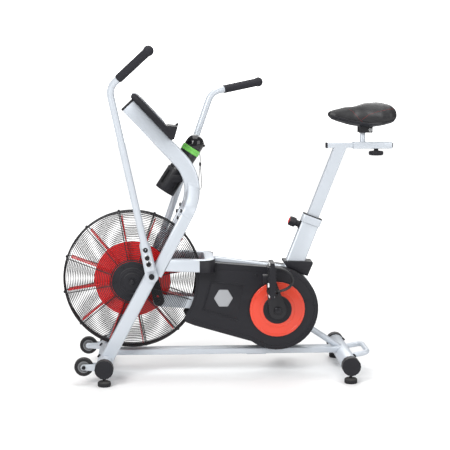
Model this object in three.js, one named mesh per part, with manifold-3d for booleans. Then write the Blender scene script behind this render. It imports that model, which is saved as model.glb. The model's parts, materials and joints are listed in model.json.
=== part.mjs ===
// Air bike: an exercise bike whose pedals turn a fan in a wire guard, with two
// swinging handlebar levers. Millimetres, +Z up. The rider faces -X and the
// rider's left is -Y. The origin is on the floor, under the middle of the bike.
import * as THREE from 'three'
import { mergeVertices } from 'three/addons/utils/BufferGeometryUtils.js'
import Module from 'manifold-3d'

const wasm = await Module()
wasm.setup()

// ---------------------------------------------------------------- dimensions
const GAP = 0.3 // between touching pieces that are fixed together
const RUNNING_GAP = 0.6 // around pieces that turn or slide
const LEFT = -1
const RIGHT = 1

// floor and stabilisers
const STABILISER = { radius: 32, wall: 2, halfLength: 236, height: 67, frontX: -490, rearX: 451 }
const END_CAP = { radius: 36, length: 36, face: 4 }
const FOOT = { radius: 25, padHeight: 20, studRadius: 6, studTop: 58, inset: 22 }
const BASE_TUBE = { halfWidth: 30, bottom: 75, height: 23, wall: 2 }
const BASE_PLATE = { fromX: 65, toX: 143, thickness: 4 }
const WHEEL = {
  x: -568, z: 70, side: 188, radius: 36, width: 22, pinRadius: 4, lugThickness: 4,
  lugHalfHeight: 11,
}
const HANDLE = { halfWidth: 82, reach: 88, height: 88, radius: 10 }

// side structure that straddles the fan
const SIDE_Y = 115 // middle of the posts, legs and rails
const POST = { width: 40, depth: 50, wall: 2, footX: -490 }
const LEG = { width: 40, depth: 46, wall: 2, baseX: -291, baseZ: 411, topX: -174.6, topZ: 634 }
const PIVOT = { x: -308, z: 407, housingRadius: 27, housingHalfLength: 22, shaftRadius: 10 }
const RAIL = { width: 40, height: 48, wall: 2, frontX: -278, frontZ: 449, rearZ: 441, bridgeX: -84 }

// mast and console
const MAST = {
  depth: 60, width: 50, wall: 2.5, corner: 10, baseX: -171, baseZ: 641, bendX: -112,
  bendZ: 754, bendRadius: 170, topX: -398, topZ: 1057,
}
const FORK = { crotchStep: 3, closedStep: 7, tipY: 4 } // steps along the mast's bend where its two feet part
const CONSOLE = { width: 150, length: 220, thickness: 24, fromTop: -6, humpLength: 46, humpHeight: 30 }

// bottle in its cage, on the right of the mast
const BOTTLE = {
  radius: 37, bodyLength: 178, ringLength: 22, lidLength: 52, lean: 33, baseX: -253,
  baseZ: 718, y: 75,
}
const CAGE = { radius: 41, height: 92, floor: 4 }

// fan and guard
const FAN = {
  x: -383, z: 378, discRadius: 149, tipRadius: 252, bladeCount: 12, firstBlade: 99,
  nearY: -42, farY: 21, hubRadius: 34, bladeThickness: 3, discThickness: 4, discY: -14,
}
const AXLE = { radius: 8, halfLength: 92 }
const GUARD = {
  rimOuter: 272, rimInner: 262, rimDepth: 6, edgeY: 44, hubRadius: 82, hubY: 85, wire: 4,
  stayCount: 12, firstStay: 101,
}
const HUB_PLATE = { radius: 79.5, stepRadius: 55, bossRadius: 35, thickness: 4, innerY: 84 }

// drive
const CRANK = {
  x: 180, z: 263, axleRadius: 10, shellRadius: 24, shellHalfLength: 23, armLength: 137,
  lean: 13.4,
}
const ARM = { innerY: 94, thickness: 16, bossRadius: 34, endRadius: 16 }
const CRANK_DISC = { radius: 108, hubRadius: 48.5, innerY: 77.5, thickness: 9 }
const PULLEY = {
  crankRadius: 110, fanRadius: 42, width: 13, y: 33,
  windowCount: 5, windowRing: 74, windowRadius: 22, firstWindow: 20,
}
const BELT = { width: 12, thickness: 4 }
const ECCENTRIC = { radius: 55, throw: 33, y: 43.5, thickness: 5 }
const ROD = { y: 51.5, thickness: 7, height: 42, ringRadius: 68, boreRadius: 56, noseRadius: 24 }
const PEDAL = { length: 140, thickness: 24, width: 96, innerY: 127, spindleRadius: 6.5 }
const STRAP = { width: 34, thickness: 3, reach: 92 }

// levers
const LEVER = {
  lean: 12, farLean: 19.5, length: 734.6, tubeRadius: 14, bendOut: 49,
  bendRadius: 62, gripY: 327.5,
}
const GRIP = { radius: 16.5, ballRadius: 19.8, length: 165, endX: -313.5, endZ: 1260.2 }
const BRACKET = { innerY: SIDE_Y + PIVOT.housingHalfLength + 4, thickness: 7, halfWidth: 23, top: 122 }
const leverFootY = BRACKET.innerY + BRACKET.thickness + LEVER.tubeRadius + 1
const LOWER_ARM = { endX: -280, endZ: 297.6, innerY: 57, outerY: 65, radius: 20, pinRadius: 7 }

// shroud
const SHROUD = {
  halfWidth: 75, seam: 25.5, wall: 3, rim: 12, roundRadius: 162, roundFrom: 86, roundTo: -128,
  guardRadius: 247, guardFrom: -36, guardTo: 8, guardStep: 6, brow: [[-131, 414], [-119, 452]],
  chin: [[-144, 201], [-176, 214]], rodSlot: { fromX: -200, toX: -100, bottom: 250, top: 340 },
}
const BOOT = {
  outline: [[232, 408], [303, 386], [324, 436], [322, 443], [210, 447], [207, 441]],
  overhang: 18,
}
const BAND = { halfWidth: 24, thickness: 9, rearEnd: -40 }

// seat
const SEAT_LEAN = 21.2
const SEAT_TUBE = { depth: 70, width: 45, wall: 2.5, topX: 325, topZ: 617, boreDepth: 338 }
const SLEEVE = { collar: 30, thickness: 3, liner: 62 }
const SEAT_POST = { depth: 47, width: 34, wall: 2, topZ: 897, insert: 62 }
const SEAT_RAIL = { frontX: 378, rearX: 634, z: 897, height: 20, width: 34, wall: 2 }
const SLIDER = {
  frontX: 481, rearX: 632, height: 27, width: 42, postX: 519, postRadius: 11, postTop: 962,
}
const KNOB = { radius: 20, length: 30, neckRadius: 8, along: 46.9 }
const SLIDER_KNOB = { x: 573, radius: 29, length: 18, neckRadius: 9, gapBelow: 9 }
const SADDLE = {
  frontX: 372, rearX: 655,
  clampHalfWidth: 26, clampBottom: 946, clampTop: 990, clampFront: 18, clampRear: 36,
}

const ROUND_SIDES = 16 // on a turned piece; larger discs ask for more
const rad = THREE.MathUtils.degToRad

// ----------------------------------------------------------------- materials
const finish = (color, roughness, metalness) => new THREE.MeshStandardMaterial(
  { color, roughness, metalness }
)
const silverPaint = finish(0xd2d6dc, 0.42, 0.1)
const blackPlastic = finish(0x2a2a33, 0.5, 0)
const blackSteel = finish(0x1c1c22, 0.4, 0.3)
const redPaint = finish(0xc80f0f, 0.35, 0.1)
const orangePlastic = finish(0xe6503c, 0.32, 0)
const greenPlastic = finish(0x82d764, 0.35, 0)
const rubber = finish(0x1a1a1c, 0.85, 0)
const foam = finish(0x2c2c36, 0.8, 0)
const leather = finish(0x24242c, 0.6, 0)
const zincSteel = finish(0xa8abb0, 0.35, 0.8)

// ------------------------------------------------------------ shape building
const at = (x, y, z) => new THREE.Vector3(x, y, z)

function signedVolume(positions, index) {
  const a = new THREE.Vector3()
  const b = new THREE.Vector3()
  const c = new THREE.Vector3()
  let sum = 0
  for (let i = 0; i < index.length; i += 3) {
    a.fromArray(positions, index[i] * 3)
    b.fromArray(positions, index[i + 1] * 3)
    c.fromArray(positions, index[i + 2] * 3)
    sum += a.dot(b.cross(c))
  }
  return sum / 6
}

/** A closed three.js geometry as a solid that can be joined and cut. */
function solid(geometry) {
  const bare = new THREE.BufferGeometry()
  bare.setAttribute('position', geometry.getAttribute('position'))
  bare.setIndex(geometry.getIndex())
  const merged = mergeVertices(bare, 1e-3)
  const positions = merged.getAttribute('position').array
  const all = merged.getIndex().array
  const index = []
  for (let i = 0; i < all.length; i += 3) {
    const [p, q, r] = [all[i], all[i + 1], all[i + 2]]
    if (p !== q && q !== r && r !== p) index.push(p, q, r)
  }
  if (signedVolume(positions, index) < 0) index.reverse()
  return new wasm.Manifold(new wasm.Mesh({
    numProp: 3,
    vertProperties: new Float32Array(positions),
    triVerts: new Uint32Array(index),
  }))
}

const join = (...solids) => solids.reduce((whole, next) => whole.add(next))

/** Cuts every other solid out of the first. */
const cut = (body, ...tools) => tools.reduce((rest, tool) => rest.subtract(tool), body)

const group = new THREE.Group()

/** Adds a solid to the bike as one named mesh. */
function piece(name, material, shape) {
  const { vertProperties, triVerts } = shape.getMesh()
  const geometry = new THREE.BufferGeometry()
  geometry.setAttribute('position', new THREE.BufferAttribute(new Float32Array(vertProperties), 3))
  geometry.setIndex(new THREE.BufferAttribute(new Uint32Array(triVerts), 1))
  geometry.computeVertexNormals()
  const mesh = new THREE.Mesh(geometry, material)
  mesh.name = name
  group.add(mesh)
}

/** A rectangle with round corners, centred on 0,0. */
function roundedRectangle(width, height, corner) {
  const [x, y] = [width / 2, height / 2]
  const shape = new THREE.Shape()
  shape.moveTo(-x + corner, -y)
  shape.lineTo(x - corner, -y)
  shape.absarc(x - corner, -y + corner, corner, -Math.PI / 2, 0)
  shape.lineTo(x, y - corner)
  shape.absarc(x - corner, y - corner, corner, 0, Math.PI / 2)
  shape.lineTo(-x + corner, y)
  shape.absarc(-x + corner, y - corner, corner, Math.PI / 2, Math.PI)
  shape.lineTo(-x, -y + corner)
  shape.absarc(-x + corner, -y + corner, corner, Math.PI, Math.PI * 1.5)
  return shape
}

/** A tube's section: the outline, and its bore where it has a wall. */
function section(width, height, corner, wall = 0) {
  const shape = roundedRectangle(width, height, corner)
  if (wall > 0) {
    const inner = Math.max(corner - wall, 1)
    shape.holes.push(roundedRectangle(width - 2 * wall, height - 2 * wall, inner))
  }
  return shape
}

/** A section pushed in a straight line; its first axis lies along `across`. */
function beam(from, to, across, shape, curveSegments = 1) {
  const along = to.clone().sub(from)
  const depth = along.length()
  const geometry = new THREE.ExtrudeGeometry(
    shape,
    { depth, bevelEnabled: false, steps: 1, curveSegments },
  )
  const z = along.normalize()
  const x = across.clone().addScaledVector(z, -across.dot(z)).normalize()
  const y = new THREE.Vector3().crossVectors(z, x)
  geometry.applyMatrix4(new THREE.Matrix4().makeBasis(x, y, z).setPosition(from))
  return solid(geometry)
}

const SIDEWAYS = at(0, 1, 0)
const FORWARD = at(1, 0, 0)

/** A round bar or tube between two points. */
function rod(from, to, radius, bore = 0, sides = ROUND_SIDES) {
  const shape = new THREE.Shape().absarc(0, 0, radius, 0, Math.PI * 2)
  if (bore > 0) shape.holes.push(new THREE.Path().absarc(0, 0, bore, 0, Math.PI * 2, true))
  const axis = to.clone().sub(from)
  const across = Math.abs(axis.y) > Math.abs(axis.x) ? FORWARD : SIDEWAYS
  return beam(from, to, across, shape, sides / 2)
}

/** A disc or pin that lies along Y, between two Y values. */
const pin = (x, z, fromY, toY, radius, bore = 0, sides = ROUND_SIDES) =>
  rod(at(x, Math.min(fromY, toY), z), at(x, Math.max(fromY, toY), z), radius, bore, sides)

const block = (x0, x1, y0, y1, z0, z1) => {
  const geometry = new THREE.BoxGeometry(Math.abs(x1 - x0), Math.abs(y1 - y0), Math.abs(z1 - z0))
  geometry.translate((x0 + x1) / 2, (y0 + y1) / 2, (z0 + z1) / 2)
  return solid(geometry)
}

/** An outline drawn in X and Z, pushed along Y. */
function plate(outline, fromY, toY, curveSegments = 5) {
  const [low, high] = [Math.min(fromY, toY), Math.max(fromY, toY)]
  const geometry = new THREE.ExtrudeGeometry(
    outline,
    { depth: high - low, bevelEnabled: false, curveSegments },
  )
  geometry.applyMatrix4(
    new THREE.Matrix4().makeBasis(at(1, 0, 0), at(0, 0, 1), at(0, -1, 0)).setPosition(0, high, 0)
  )
  return solid(geometry)
}

/** Two discs of different radius and their common tangents, in X and Z. */
function taperOutline(x0, z0, r0, x1, z1, r1) {
  const heading = Math.atan2(z1 - z0, x1 - x0)
  const spread = Math.acos((r0 - r1) / Math.hypot(x1 - x0, z1 - z0))
  const shape = new THREE.Shape()
  shape.absarc(x0, z0, r0, heading + spread, heading - spread + Math.PI * 2)
  shape.absarc(x1, z1, r1, heading - spread, heading + spread)
  return shape
}

/** A section pushed along a curve. */
function sweep(curve, shape, steps, curveSegments = 1) {
  return solid(
    new THREE.ExtrudeGeometry(shape, { extrudePath: curve, steps, bevelEnabled: false, curveSegments })
  )
}

/** A straight, an arc of the given radius and a straight, through a corner. */
function bentPath(from, corner, to, radius, arcSteps = 10) {
  const back = from.clone().sub(corner).normalize()
  const ahead = to.clone().sub(corner).normalize()
  const half = Math.acos(THREE.MathUtils.clamp(back.dot(ahead), -1, 1)) / 2
  const trim = radius / Math.tan(half)
  const start = corner.clone().addScaledVector(back, trim)
  const end = corner.clone().addScaledVector(ahead, trim)
  const centre = corner.clone().addScaledVector(
    back.clone().add(ahead).normalize(),
    radius / Math.sin(half),
  )
  const points = [from]
  for (let i = 0; i <= arcSteps; i++) {
    const chord = start.clone().lerp(end, i / arcSteps).sub(centre)
    const turn = (Math.PI - 2 * half) * (i / arcSteps - 0.5)
    const middle = corner.clone().sub(centre).normalize()
    const side = end.clone().sub(start).normalize()
    chord.copy(middle).multiplyScalar(Math.cos(turn) * radius).addScaledVector(
      side,
      Math.sin(turn) * radius,
    )
    points.push(centre.clone().add(chord))
  }
  points.push(to)
  return points
}

/** A path through exact points, one straight for each stretch. */
class PointPath extends THREE.Curve {
  constructor(points) {
    super()
    this.points = points
  }

  getPoint(t, target = new THREE.Vector3()) {
    const place = t * (this.points.length - 1)
    const i = Math.min(Math.floor(place), this.points.length - 2)
    return target.copy(this.points[i]).lerp(this.points[i + 1], place - i)
  }

  getTangent(t, target = new THREE.Vector3()) {
    const last = this.points.length - 1
    const i = Math.round(t * last)
    const before = this.points[Math.max(i - 1, 0)]
    const after = this.points[Math.min(i + 1, last)]
    const here = this.points[i]
    const incoming = here.clone().sub(before).normalize()
    const outgoing = after.clone().sub(here).normalize()
    return target.copy(incoming).add(outgoing).normalize()
  }

  getPointAt(t, target) {
    return this.getPoint(t, target)
  }

  getTangentAt(t, target) {
    return this.getTangent(t, target)
  }
}

/** A section swept through exact points. */
const sweepPoints = (points, shape, curveSegments) => sweep(
  new PointPath(points),
  shape,
  points.length - 1,
  curveSegments,
)

const circle = (radius) => new THREE.Shape().absarc(0, 0, radius, 0, Math.PI * 2)
const sideName = (side) => (side === LEFT ? 'left' : 'right')

// --------------------------------------------------- stabilisers and the base
const footY = STABILISER.halfLength + END_CAP.face - FOOT.inset

function stabiliserTube(x) {
  const tube = pin(
    x,
    STABILISER.height,
    -STABILISER.halfLength,
    STABILISER.halfLength,
    STABILISER.radius,
    STABILISER.radius - STABILISER.wall,
  )
  return cut(tube, ...[LEFT, RIGHT].map((side) => footHole(x, side)))
}

const footHole = (x, side) => rod(
  at(x, side * footY, 10),
  at(x, side * footY, STABILISER.height),
  FOOT.studRadius + RUNNING_GAP,
  0,
  12,
)

function wheelLugs() {
  const lugs = []
  for (const side of [LEFT, RIGHT]) {
    for (const edge of [-1, 1]) {
      const inner = side * WHEEL.side + edge * (WHEEL.width / 2 + RUNNING_GAP)
      const outer = inner + edge * WHEEL.lugThickness
      const outline = taperOutline(
        STABILISER.frontX,
        STABILISER.height,
        WHEEL.lugHalfHeight + 4,
        WHEEL.x,
        WHEEL.z,
        WHEEL.lugHalfHeight,
      )
      lugs.push(plate(outline, inner, outer, 6))
    }
    const reach = WHEEL.width / 2 + RUNNING_GAP + WHEEL.lugThickness + 1
    lugs.push(
      pin(
        WHEEL.x,
        WHEEL.z,
        side * WHEEL.side - reach,
        side * WHEEL.side + reach,
        WHEEL.pinRadius,
        0,
        12,
      ),
    )
  }
  return lugs
}

function stabilisers() {
  const bore = pin(
    STABILISER.frontX,
    STABILISER.height,
    -STABILISER.halfLength,
    STABILISER.halfLength,
    STABILISER.radius - STABILISER.wall,
  )
  const lugs = wheelLugs().map((lug) => cut(lug, bore))
  piece('front_stabiliser', silverPaint, join(stabiliserTube(STABILISER.frontX), ...lugs))

  const rearBore = pin(
    STABILISER.rearX,
    STABILISER.height,
    -STABILISER.halfLength,
    STABILISER.halfLength,
    STABILISER.radius - STABILISER.wall,
  )
  const corner = [LEFT, RIGHT].map(
    (side) => at(STABILISER.rearX + HANDLE.reach, side * HANDLE.halfWidth, HANDLE.height)
  )
  const root = [LEFT, RIGHT].map(
    (side) => at(STABILISER.rearX, side * HANDLE.halfWidth, STABILISER.height + 4)
  )
  const middle = at(STABILISER.rearX + HANDLE.reach, 0, HANDLE.height)
  const first = bentPath(root[0], corner[0], middle, 24, 4)
  const second = bentPath(middle, corner[1], root[1], 24, 4)
  const handle = sweepPoints([...first, ...second.slice(1)], circle(HANDLE.radius), 5)
  piece('rear_stabiliser', silverPaint, join(stabiliserTube(STABILISER.rearX), cut(handle, rearBore)))

  for (const [end, x] of [['front', STABILISER.frontX], ['rear', STABILISER.rearX]]) {
    for (const side of [LEFT, RIGHT]) {
      const outer = STABILISER.halfLength + END_CAP.face
      const shell = pin(
        x,
        STABILISER.height,
        side * (outer - END_CAP.length),
        side * outer,
        END_CAP.radius,
      )
      const seat = pin(
        x,
        STABILISER.height,
        side * (outer - END_CAP.length - 1),
        side * (STABILISER.halfLength + GAP),
        STABILISER.radius + GAP,
      )
      piece(`end_cap_${end}_${sideName(side)}`, blackPlastic, cut(shell, seat, footHole(x, side)))
      const y = side * footY
      const pad = solid(new THREE.LatheGeometry([
        new THREE.Vector2(0, 0),
        new THREE.Vector2(FOOT.radius - 2, 0),
        new THREE.Vector2(FOOT.radius, 3),
        new THREE.Vector2(FOOT.radius, FOOT.padHeight - 4),
        new THREE.Vector2(FOOT.radius - 5, FOOT.padHeight),
        new THREE.Vector2(FOOT.studRadius, FOOT.padHeight),
        new THREE.Vector2(FOOT.studRadius, FOOT.studTop),
        new THREE.Vector2(0, FOOT.studTop),
      ], ROUND_SIDES).rotateX(Math.PI / 2).translate(x, y, 0))
      piece(`foot_${end}_${sideName(side)}`, rubber, pad)
    }
  }
}

function baseTube() {
  const z = BASE_TUBE.bottom + BASE_TUBE.height / 2
  const tube = beam(
    at(STABILISER.frontX, 0, z),
    at(STABILISER.rearX, 0, z),
    SIDEWAYS,
    section(BASE_TUBE.halfWidth * 2, BASE_TUBE.height, 5, BASE_TUBE.wall),
  )
  const ends = [STABILISER.frontX, STABILISER.rearX].map(
    (x) => pin(x, STABILISER.height, -60, 60, STABILISER.radius + GAP)
  )
  const underside = block(
    BASE_PLATE.fromX,
    BASE_PLATE.toX,
    -18,
    18,
    BASE_TUBE.bottom - BASE_PLATE.thickness,
    BASE_TUBE.bottom + 1,
  )
  piece('base_tube', silverPaint, join(cut(tube, ...ends), underside))
}

// --------------------------------------------- posts, legs, rails and the mast
const legDirection = at(LEG.topX - LEG.baseX, 0, LEG.topZ - LEG.baseZ).normalize()

function sideStructure() {
  for (const side of [LEFT, RIGHT]) {
    const y = side * SIDE_Y
    const housing = pin(
      PIVOT.x,
      PIVOT.z,
      y - PIVOT.housingHalfLength,
      y + PIVOT.housingHalfLength,
      PIVOT.housingRadius,
    )
    const bore = pin(PIVOT.x, PIVOT.z, y - 40, y + 40, PIVOT.shaftRadius + RUNNING_GAP)
    const foot = pin(POST.footX, STABILISER.height, y - 40, y + 40, STABILISER.radius + GAP)
    const post = beam(
      at(POST.footX, y, STABILISER.height),
      at(PIVOT.x, y, PIVOT.z),
      SIDEWAYS,
      section(POST.width, POST.depth, 6, POST.wall),
    )
    piece(`front_post_${sideName(side)}`, silverPaint, cut(join(post, housing), bore, foot))

    const around = pin(PIVOT.x, PIVOT.z, y - 40, y + 40, PIVOT.housingRadius + GAP)
    const postSpace = beam(
      at(POST.footX, y, STABILISER.height),
      at(PIVOT.x, y, PIVOT.z),
      SIDEWAYS,
      section(POST.width + 20, POST.depth + 2 * GAP, 6),
    )
    const leg = beam(
      at(LEG.baseX, y, LEG.baseZ),
      at(LEG.topX, y, LEG.topZ),
      SIDEWAYS,
      section(LEG.width, LEG.depth, 6, LEG.wall),
    )
    piece(`mast_leg_${sideName(side)}`, silverPaint, cut(leg, around, postSpace))
  }
}

function sideRails() {
  const shape = section(RAIL.width, RAIL.height, 6, RAIL.wall)
  const points = []
  for (const side of [LEFT, RIGHT]) {
    const path = bentPath(
      at(RAIL.frontX, side * SIDE_Y, RAIL.frontZ),
      at(RAIL.bridgeX, side * SIDE_Y, RAIL.rearZ),
      at(RAIL.bridgeX, 0, RAIL.rearZ), 36, 6)
    points.push(side === LEFT ? path : path.reverse().slice(1))
  }
  const rails = sweepPoints(points.flat(), shape)
  const legSpaces = [LEFT, RIGHT].flatMap((side) => {
    const y = side * SIDE_Y
    return [
      beam(
        at(LEG.baseX, y, LEG.baseZ).addScaledVector(legDirection, -60),
        at(LEG.topX, y, LEG.topZ),
        SIDEWAYS,
        section(LEG.width + 20, LEG.depth + 2 * GAP, 6),
      ),
      pin(PIVOT.x, PIVOT.z, y - 40, y + 40, PIVOT.housingRadius + GAP),
    ]
  })
  piece('side_rails', silverPaint, cut(rails, ...legSpaces))
}

const mastTop = at(MAST.topX, 0, MAST.topZ)
const mastBend = at(MAST.bendX, 0, MAST.bendZ)
const mastHead = mastTop.clone().sub(mastBend).normalize()
const mastNormal = at(-mastHead.z, 0, mastHead.x).negate() // points up and back, at the rider

function mast() {
  const shape = section(MAST.width, MAST.depth, MAST.corner)
  const spine = bentPath(at(MAST.baseX, 0, MAST.baseZ), mastBend, mastTop, MAST.bendRadius, 12)
  const bore = section(MAST.width - 2 * MAST.wall, MAST.depth - 2 * MAST.wall, MAST.corner - MAST.wall)
  const mouth = mastTop.clone().addScaledVector(mastHead, 5)
  const hollow = cut(
    sweepPoints(spine.slice(FORK.crotchStep), shape),
    sweepPoints([...spine.slice(FORK.closedStep, -1), mouth], bore),
  )
  const fork = [LEFT, RIGHT].map((side) => {
    const foot = at(LEG.topX, side * SIDE_Y, LEG.topZ).addScaledVector(legDirection, GAP)
    const points = spine.slice(1, FORK.closedStep + 1).map((point, i) => {
      const closing = THREE.MathUtils.smoothstep(i, 0, FORK.closedStep - 1)
      return at(point.x, side * THREE.MathUtils.lerp(SIDE_Y, FORK.tipY, closing), point.z)
    })
    return sweep(new THREE.CatmullRomCurve3([foot, ...points]), section(LEG.width, LEG.depth, 6), 10)
  })
  piece('mast', silverPaint, join(hollow, ...fork))
}

function consolePiece() {
  const face = mastNormal.clone().multiplyScalar(MAST.depth / 2 + GAP)
  const origin = mastTop.clone().addScaledVector(mastHead, -CONSOLE.fromTop).add(face)
  const outline = new THREE.Shape()
  outline.moveTo(0, 0)
  outline.lineTo(CONSOLE.length, 0)
  outline.lineTo(CONSOLE.length + 4, CONSOLE.thickness * 0.5)
  outline.lineTo(CONSOLE.length - CONSOLE.humpLength * 0.45, CONSOLE.thickness + CONSOLE.humpHeight)
  outline.lineTo(CONSOLE.length - CONSOLE.humpLength, CONSOLE.thickness + CONSOLE.humpHeight * 0.3)
  outline.lineTo(CONSOLE.length - CONSOLE.humpLength - 6, CONSOLE.thickness)
  outline.lineTo(6, CONSOLE.thickness)
  outline.absarc(2, CONSOLE.thickness * 0.5, CONSOLE.thickness * 0.5, Math.PI / 2, Math.PI * 1.4)
  const geometry = new THREE.ExtrudeGeometry(
    outline,
    { depth: CONSOLE.width, bevelEnabled: false, curveSegments: 5 },
  )
  const down = mastHead.clone().negate()
  const basis = new THREE.Matrix4().makeBasis(
    down,
    mastNormal,
    new THREE.Vector3().crossVectors(down, mastNormal),
  )
  geometry.translate(0, 0, -CONSOLE.width / 2)
  geometry.applyMatrix4(basis.setPosition(origin))
  piece('console', blackPlastic, solid(geometry))
}

// -------------------------------------------------------------------- bottle
const bottleAxis = at(Math.sin(rad(BOTTLE.lean)), 0, Math.cos(rad(BOTTLE.lean)))
const bottleBase = at(BOTTLE.baseX, BOTTLE.y, BOTTLE.baseZ)
const alongBottle = (distance) => bottleBase.clone().addScaledVector(bottleAxis, distance)

function bottle() {
  const side = at(bottleAxis.z, 0, -bottleAxis.x)
  const cup = rod(alongBottle(-CAGE.floor - 1), alongBottle(CAGE.height), CAGE.radius)
  const room = rod(alongBottle(-1), alongBottle(CAGE.height + 5), BOTTLE.radius + RUNNING_GAP)
  const slots = [-0.32, 0.32].map((share) => {
    const centre = side.clone().multiplyScalar(share * CAGE.radius * 2)
    return beam(
      alongBottle(18).add(centre),
      alongBottle(CAGE.height + 5).add(centre),
      SIDEWAYS,
      section(CAGE.radius * 3, 11, 3),
    )
  })
  const band = [
    rod(alongBottle(-CAGE.floor - 1), alongBottle(20), CAGE.radius),
    rod(alongBottle(CAGE.height - 16), alongBottle(CAGE.height), CAGE.radius),
  ]
  const walls = cut(join(cut(cup, ...slots), ...band.map((ring) => ring)), room)
  const bracketAt = alongBottle(CAGE.height * 0.62)
  const bracket = block(
    bracketAt.x - 4,
    bracketAt.x + 36,
    MAST.width / 2 + GAP,
    BOTTLE.y - CAGE.radius + 6,
    bracketAt.z - 14,
    bracketAt.z + 14,
  )
  piece('bottle_cage', blackPlastic, cut(join(walls, bracket), room))

  const profile = [
    [0, 0], [BOTTLE.radius - 4, 0], [BOTTLE.radius, 5], [BOTTLE.radius, BOTTLE.bodyLength - 2],
    [BOTTLE.radius - 4, BOTTLE.bodyLength], [0, BOTTLE.bodyLength],
  ]
  const lidBase = BOTTLE.bodyLength + BOTTLE.ringLength + RUNNING_GAP
  const lid = [
    [0, lidBase], [BOTTLE.radius - 1, lidBase], [BOTTLE.radius - 1, lidBase + 14],
    [BOTTLE.radius - 5, lidBase + 32], [
      BOTTLE.radius - 16,
      lidBase + 46,
    ], [0, lidBase + BOTTLE.lidLength],
  ]
  const ring = [
    [0, BOTTLE.bodyLength - 1],
    [BOTTLE.radius + 1, BOTTLE.bodyLength - 1],
    [BOTTLE.radius + 1, lidBase - RUNNING_GAP],
    [0, lidBase - RUNNING_GAP],
  ]
  const turned = (points) => {
    const geometry = new THREE.LatheGeometry(
      points.map(([r, h]) => new THREE.Vector2(r, h)),
      ROUND_SIDES,
    )
    geometry.applyMatrix4(
      new THREE.Matrix4().makeBasis(
        side,
        bottleAxis,
        new THREE.Vector3().crossVectors(side, bottleAxis),
      ).setPosition(bottleBase),
    )
    return solid(geometry)
  }
  piece('bottle', blackPlastic, join(turned(profile), turned(ring)))
  piece('bottle_lid', blackPlastic, turned(lid))
}

// ----------------------------------------------------------------- fan, guard
const polar = (radius, degrees, y) => at(
  FAN.x + radius * Math.cos(rad(degrees)),
  y,
  FAN.z + radius * Math.sin(rad(degrees)),
)

function fan() {
  const disc = pin(
    FAN.x,
    FAN.z,
    FAN.discY - FAN.discThickness / 2,
    FAN.discY + FAN.discThickness / 2,
    FAN.discRadius,
    0,
    36,
  )
  const hub = pin(FAN.x, FAN.z, FAN.nearY, FAN.farY, FAN.hubRadius)
  const blades = []
  const [wide, thick] = [(FAN.farY - FAN.nearY) / 2, FAN.bladeThickness / 2]
  const bladeShape = new THREE.Shape(
    [
      [-wide, -thick],
      [wide, -thick],
      [wide, thick],
      [-wide, thick],
    ].map(([x, y]) => new THREE.Vector2(x, y)),
  )
  for (let i = 0; i < FAN.bladeCount; i++) {
    const angle = FAN.firstBlade + (i * 360) / FAN.bladeCount
    const middle = (FAN.nearY + FAN.farY) / 2
    blades.push(
      beam(
        polar(FAN.hubRadius - 4, angle, middle),
        polar(FAN.tipRadius, angle, middle),
        SIDEWAYS,
        bladeShape,
      ),
    )
  }
  const bore = pin(FAN.x, FAN.z, FAN.nearY - 5, FAN.farY + 5, AXLE.radius + RUNNING_GAP)
  piece('fan', redPaint, cut(join(disc, hub, ...blades), bore))

  const low = PULLEY.y - PULLEY.width / 2
  const wheel = pin(
    FAN.x,
    FAN.z,
    Math.max(low, FAN.farY + GAP),
    PULLEY.y + PULLEY.width / 2,
    PULLEY.fanRadius,
  )
  piece('fan_pulley', blackSteel, cut(wheel, pin(FAN.x, FAN.z, 0, 60, AXLE.radius + RUNNING_GAP)))
  piece('fan_axle', zincSteel, pin(FAN.x, FAN.z, -AXLE.halfLength, AXLE.halfLength, AXLE.radius))
}

/** A ring about the fan's axle with a rectangular section. */
const ring = (inner, outer, fromY, toY) => pin(FAN.x, FAN.z, fromY, toY, outer, inner, 24)

const guardDepth = (radius) => THREE.MathUtils.mapLinear(
  radius, GUARD.rimOuter, GUARD.hubRadius, GUARD.edgeY, GUARD.hubY,
)

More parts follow.
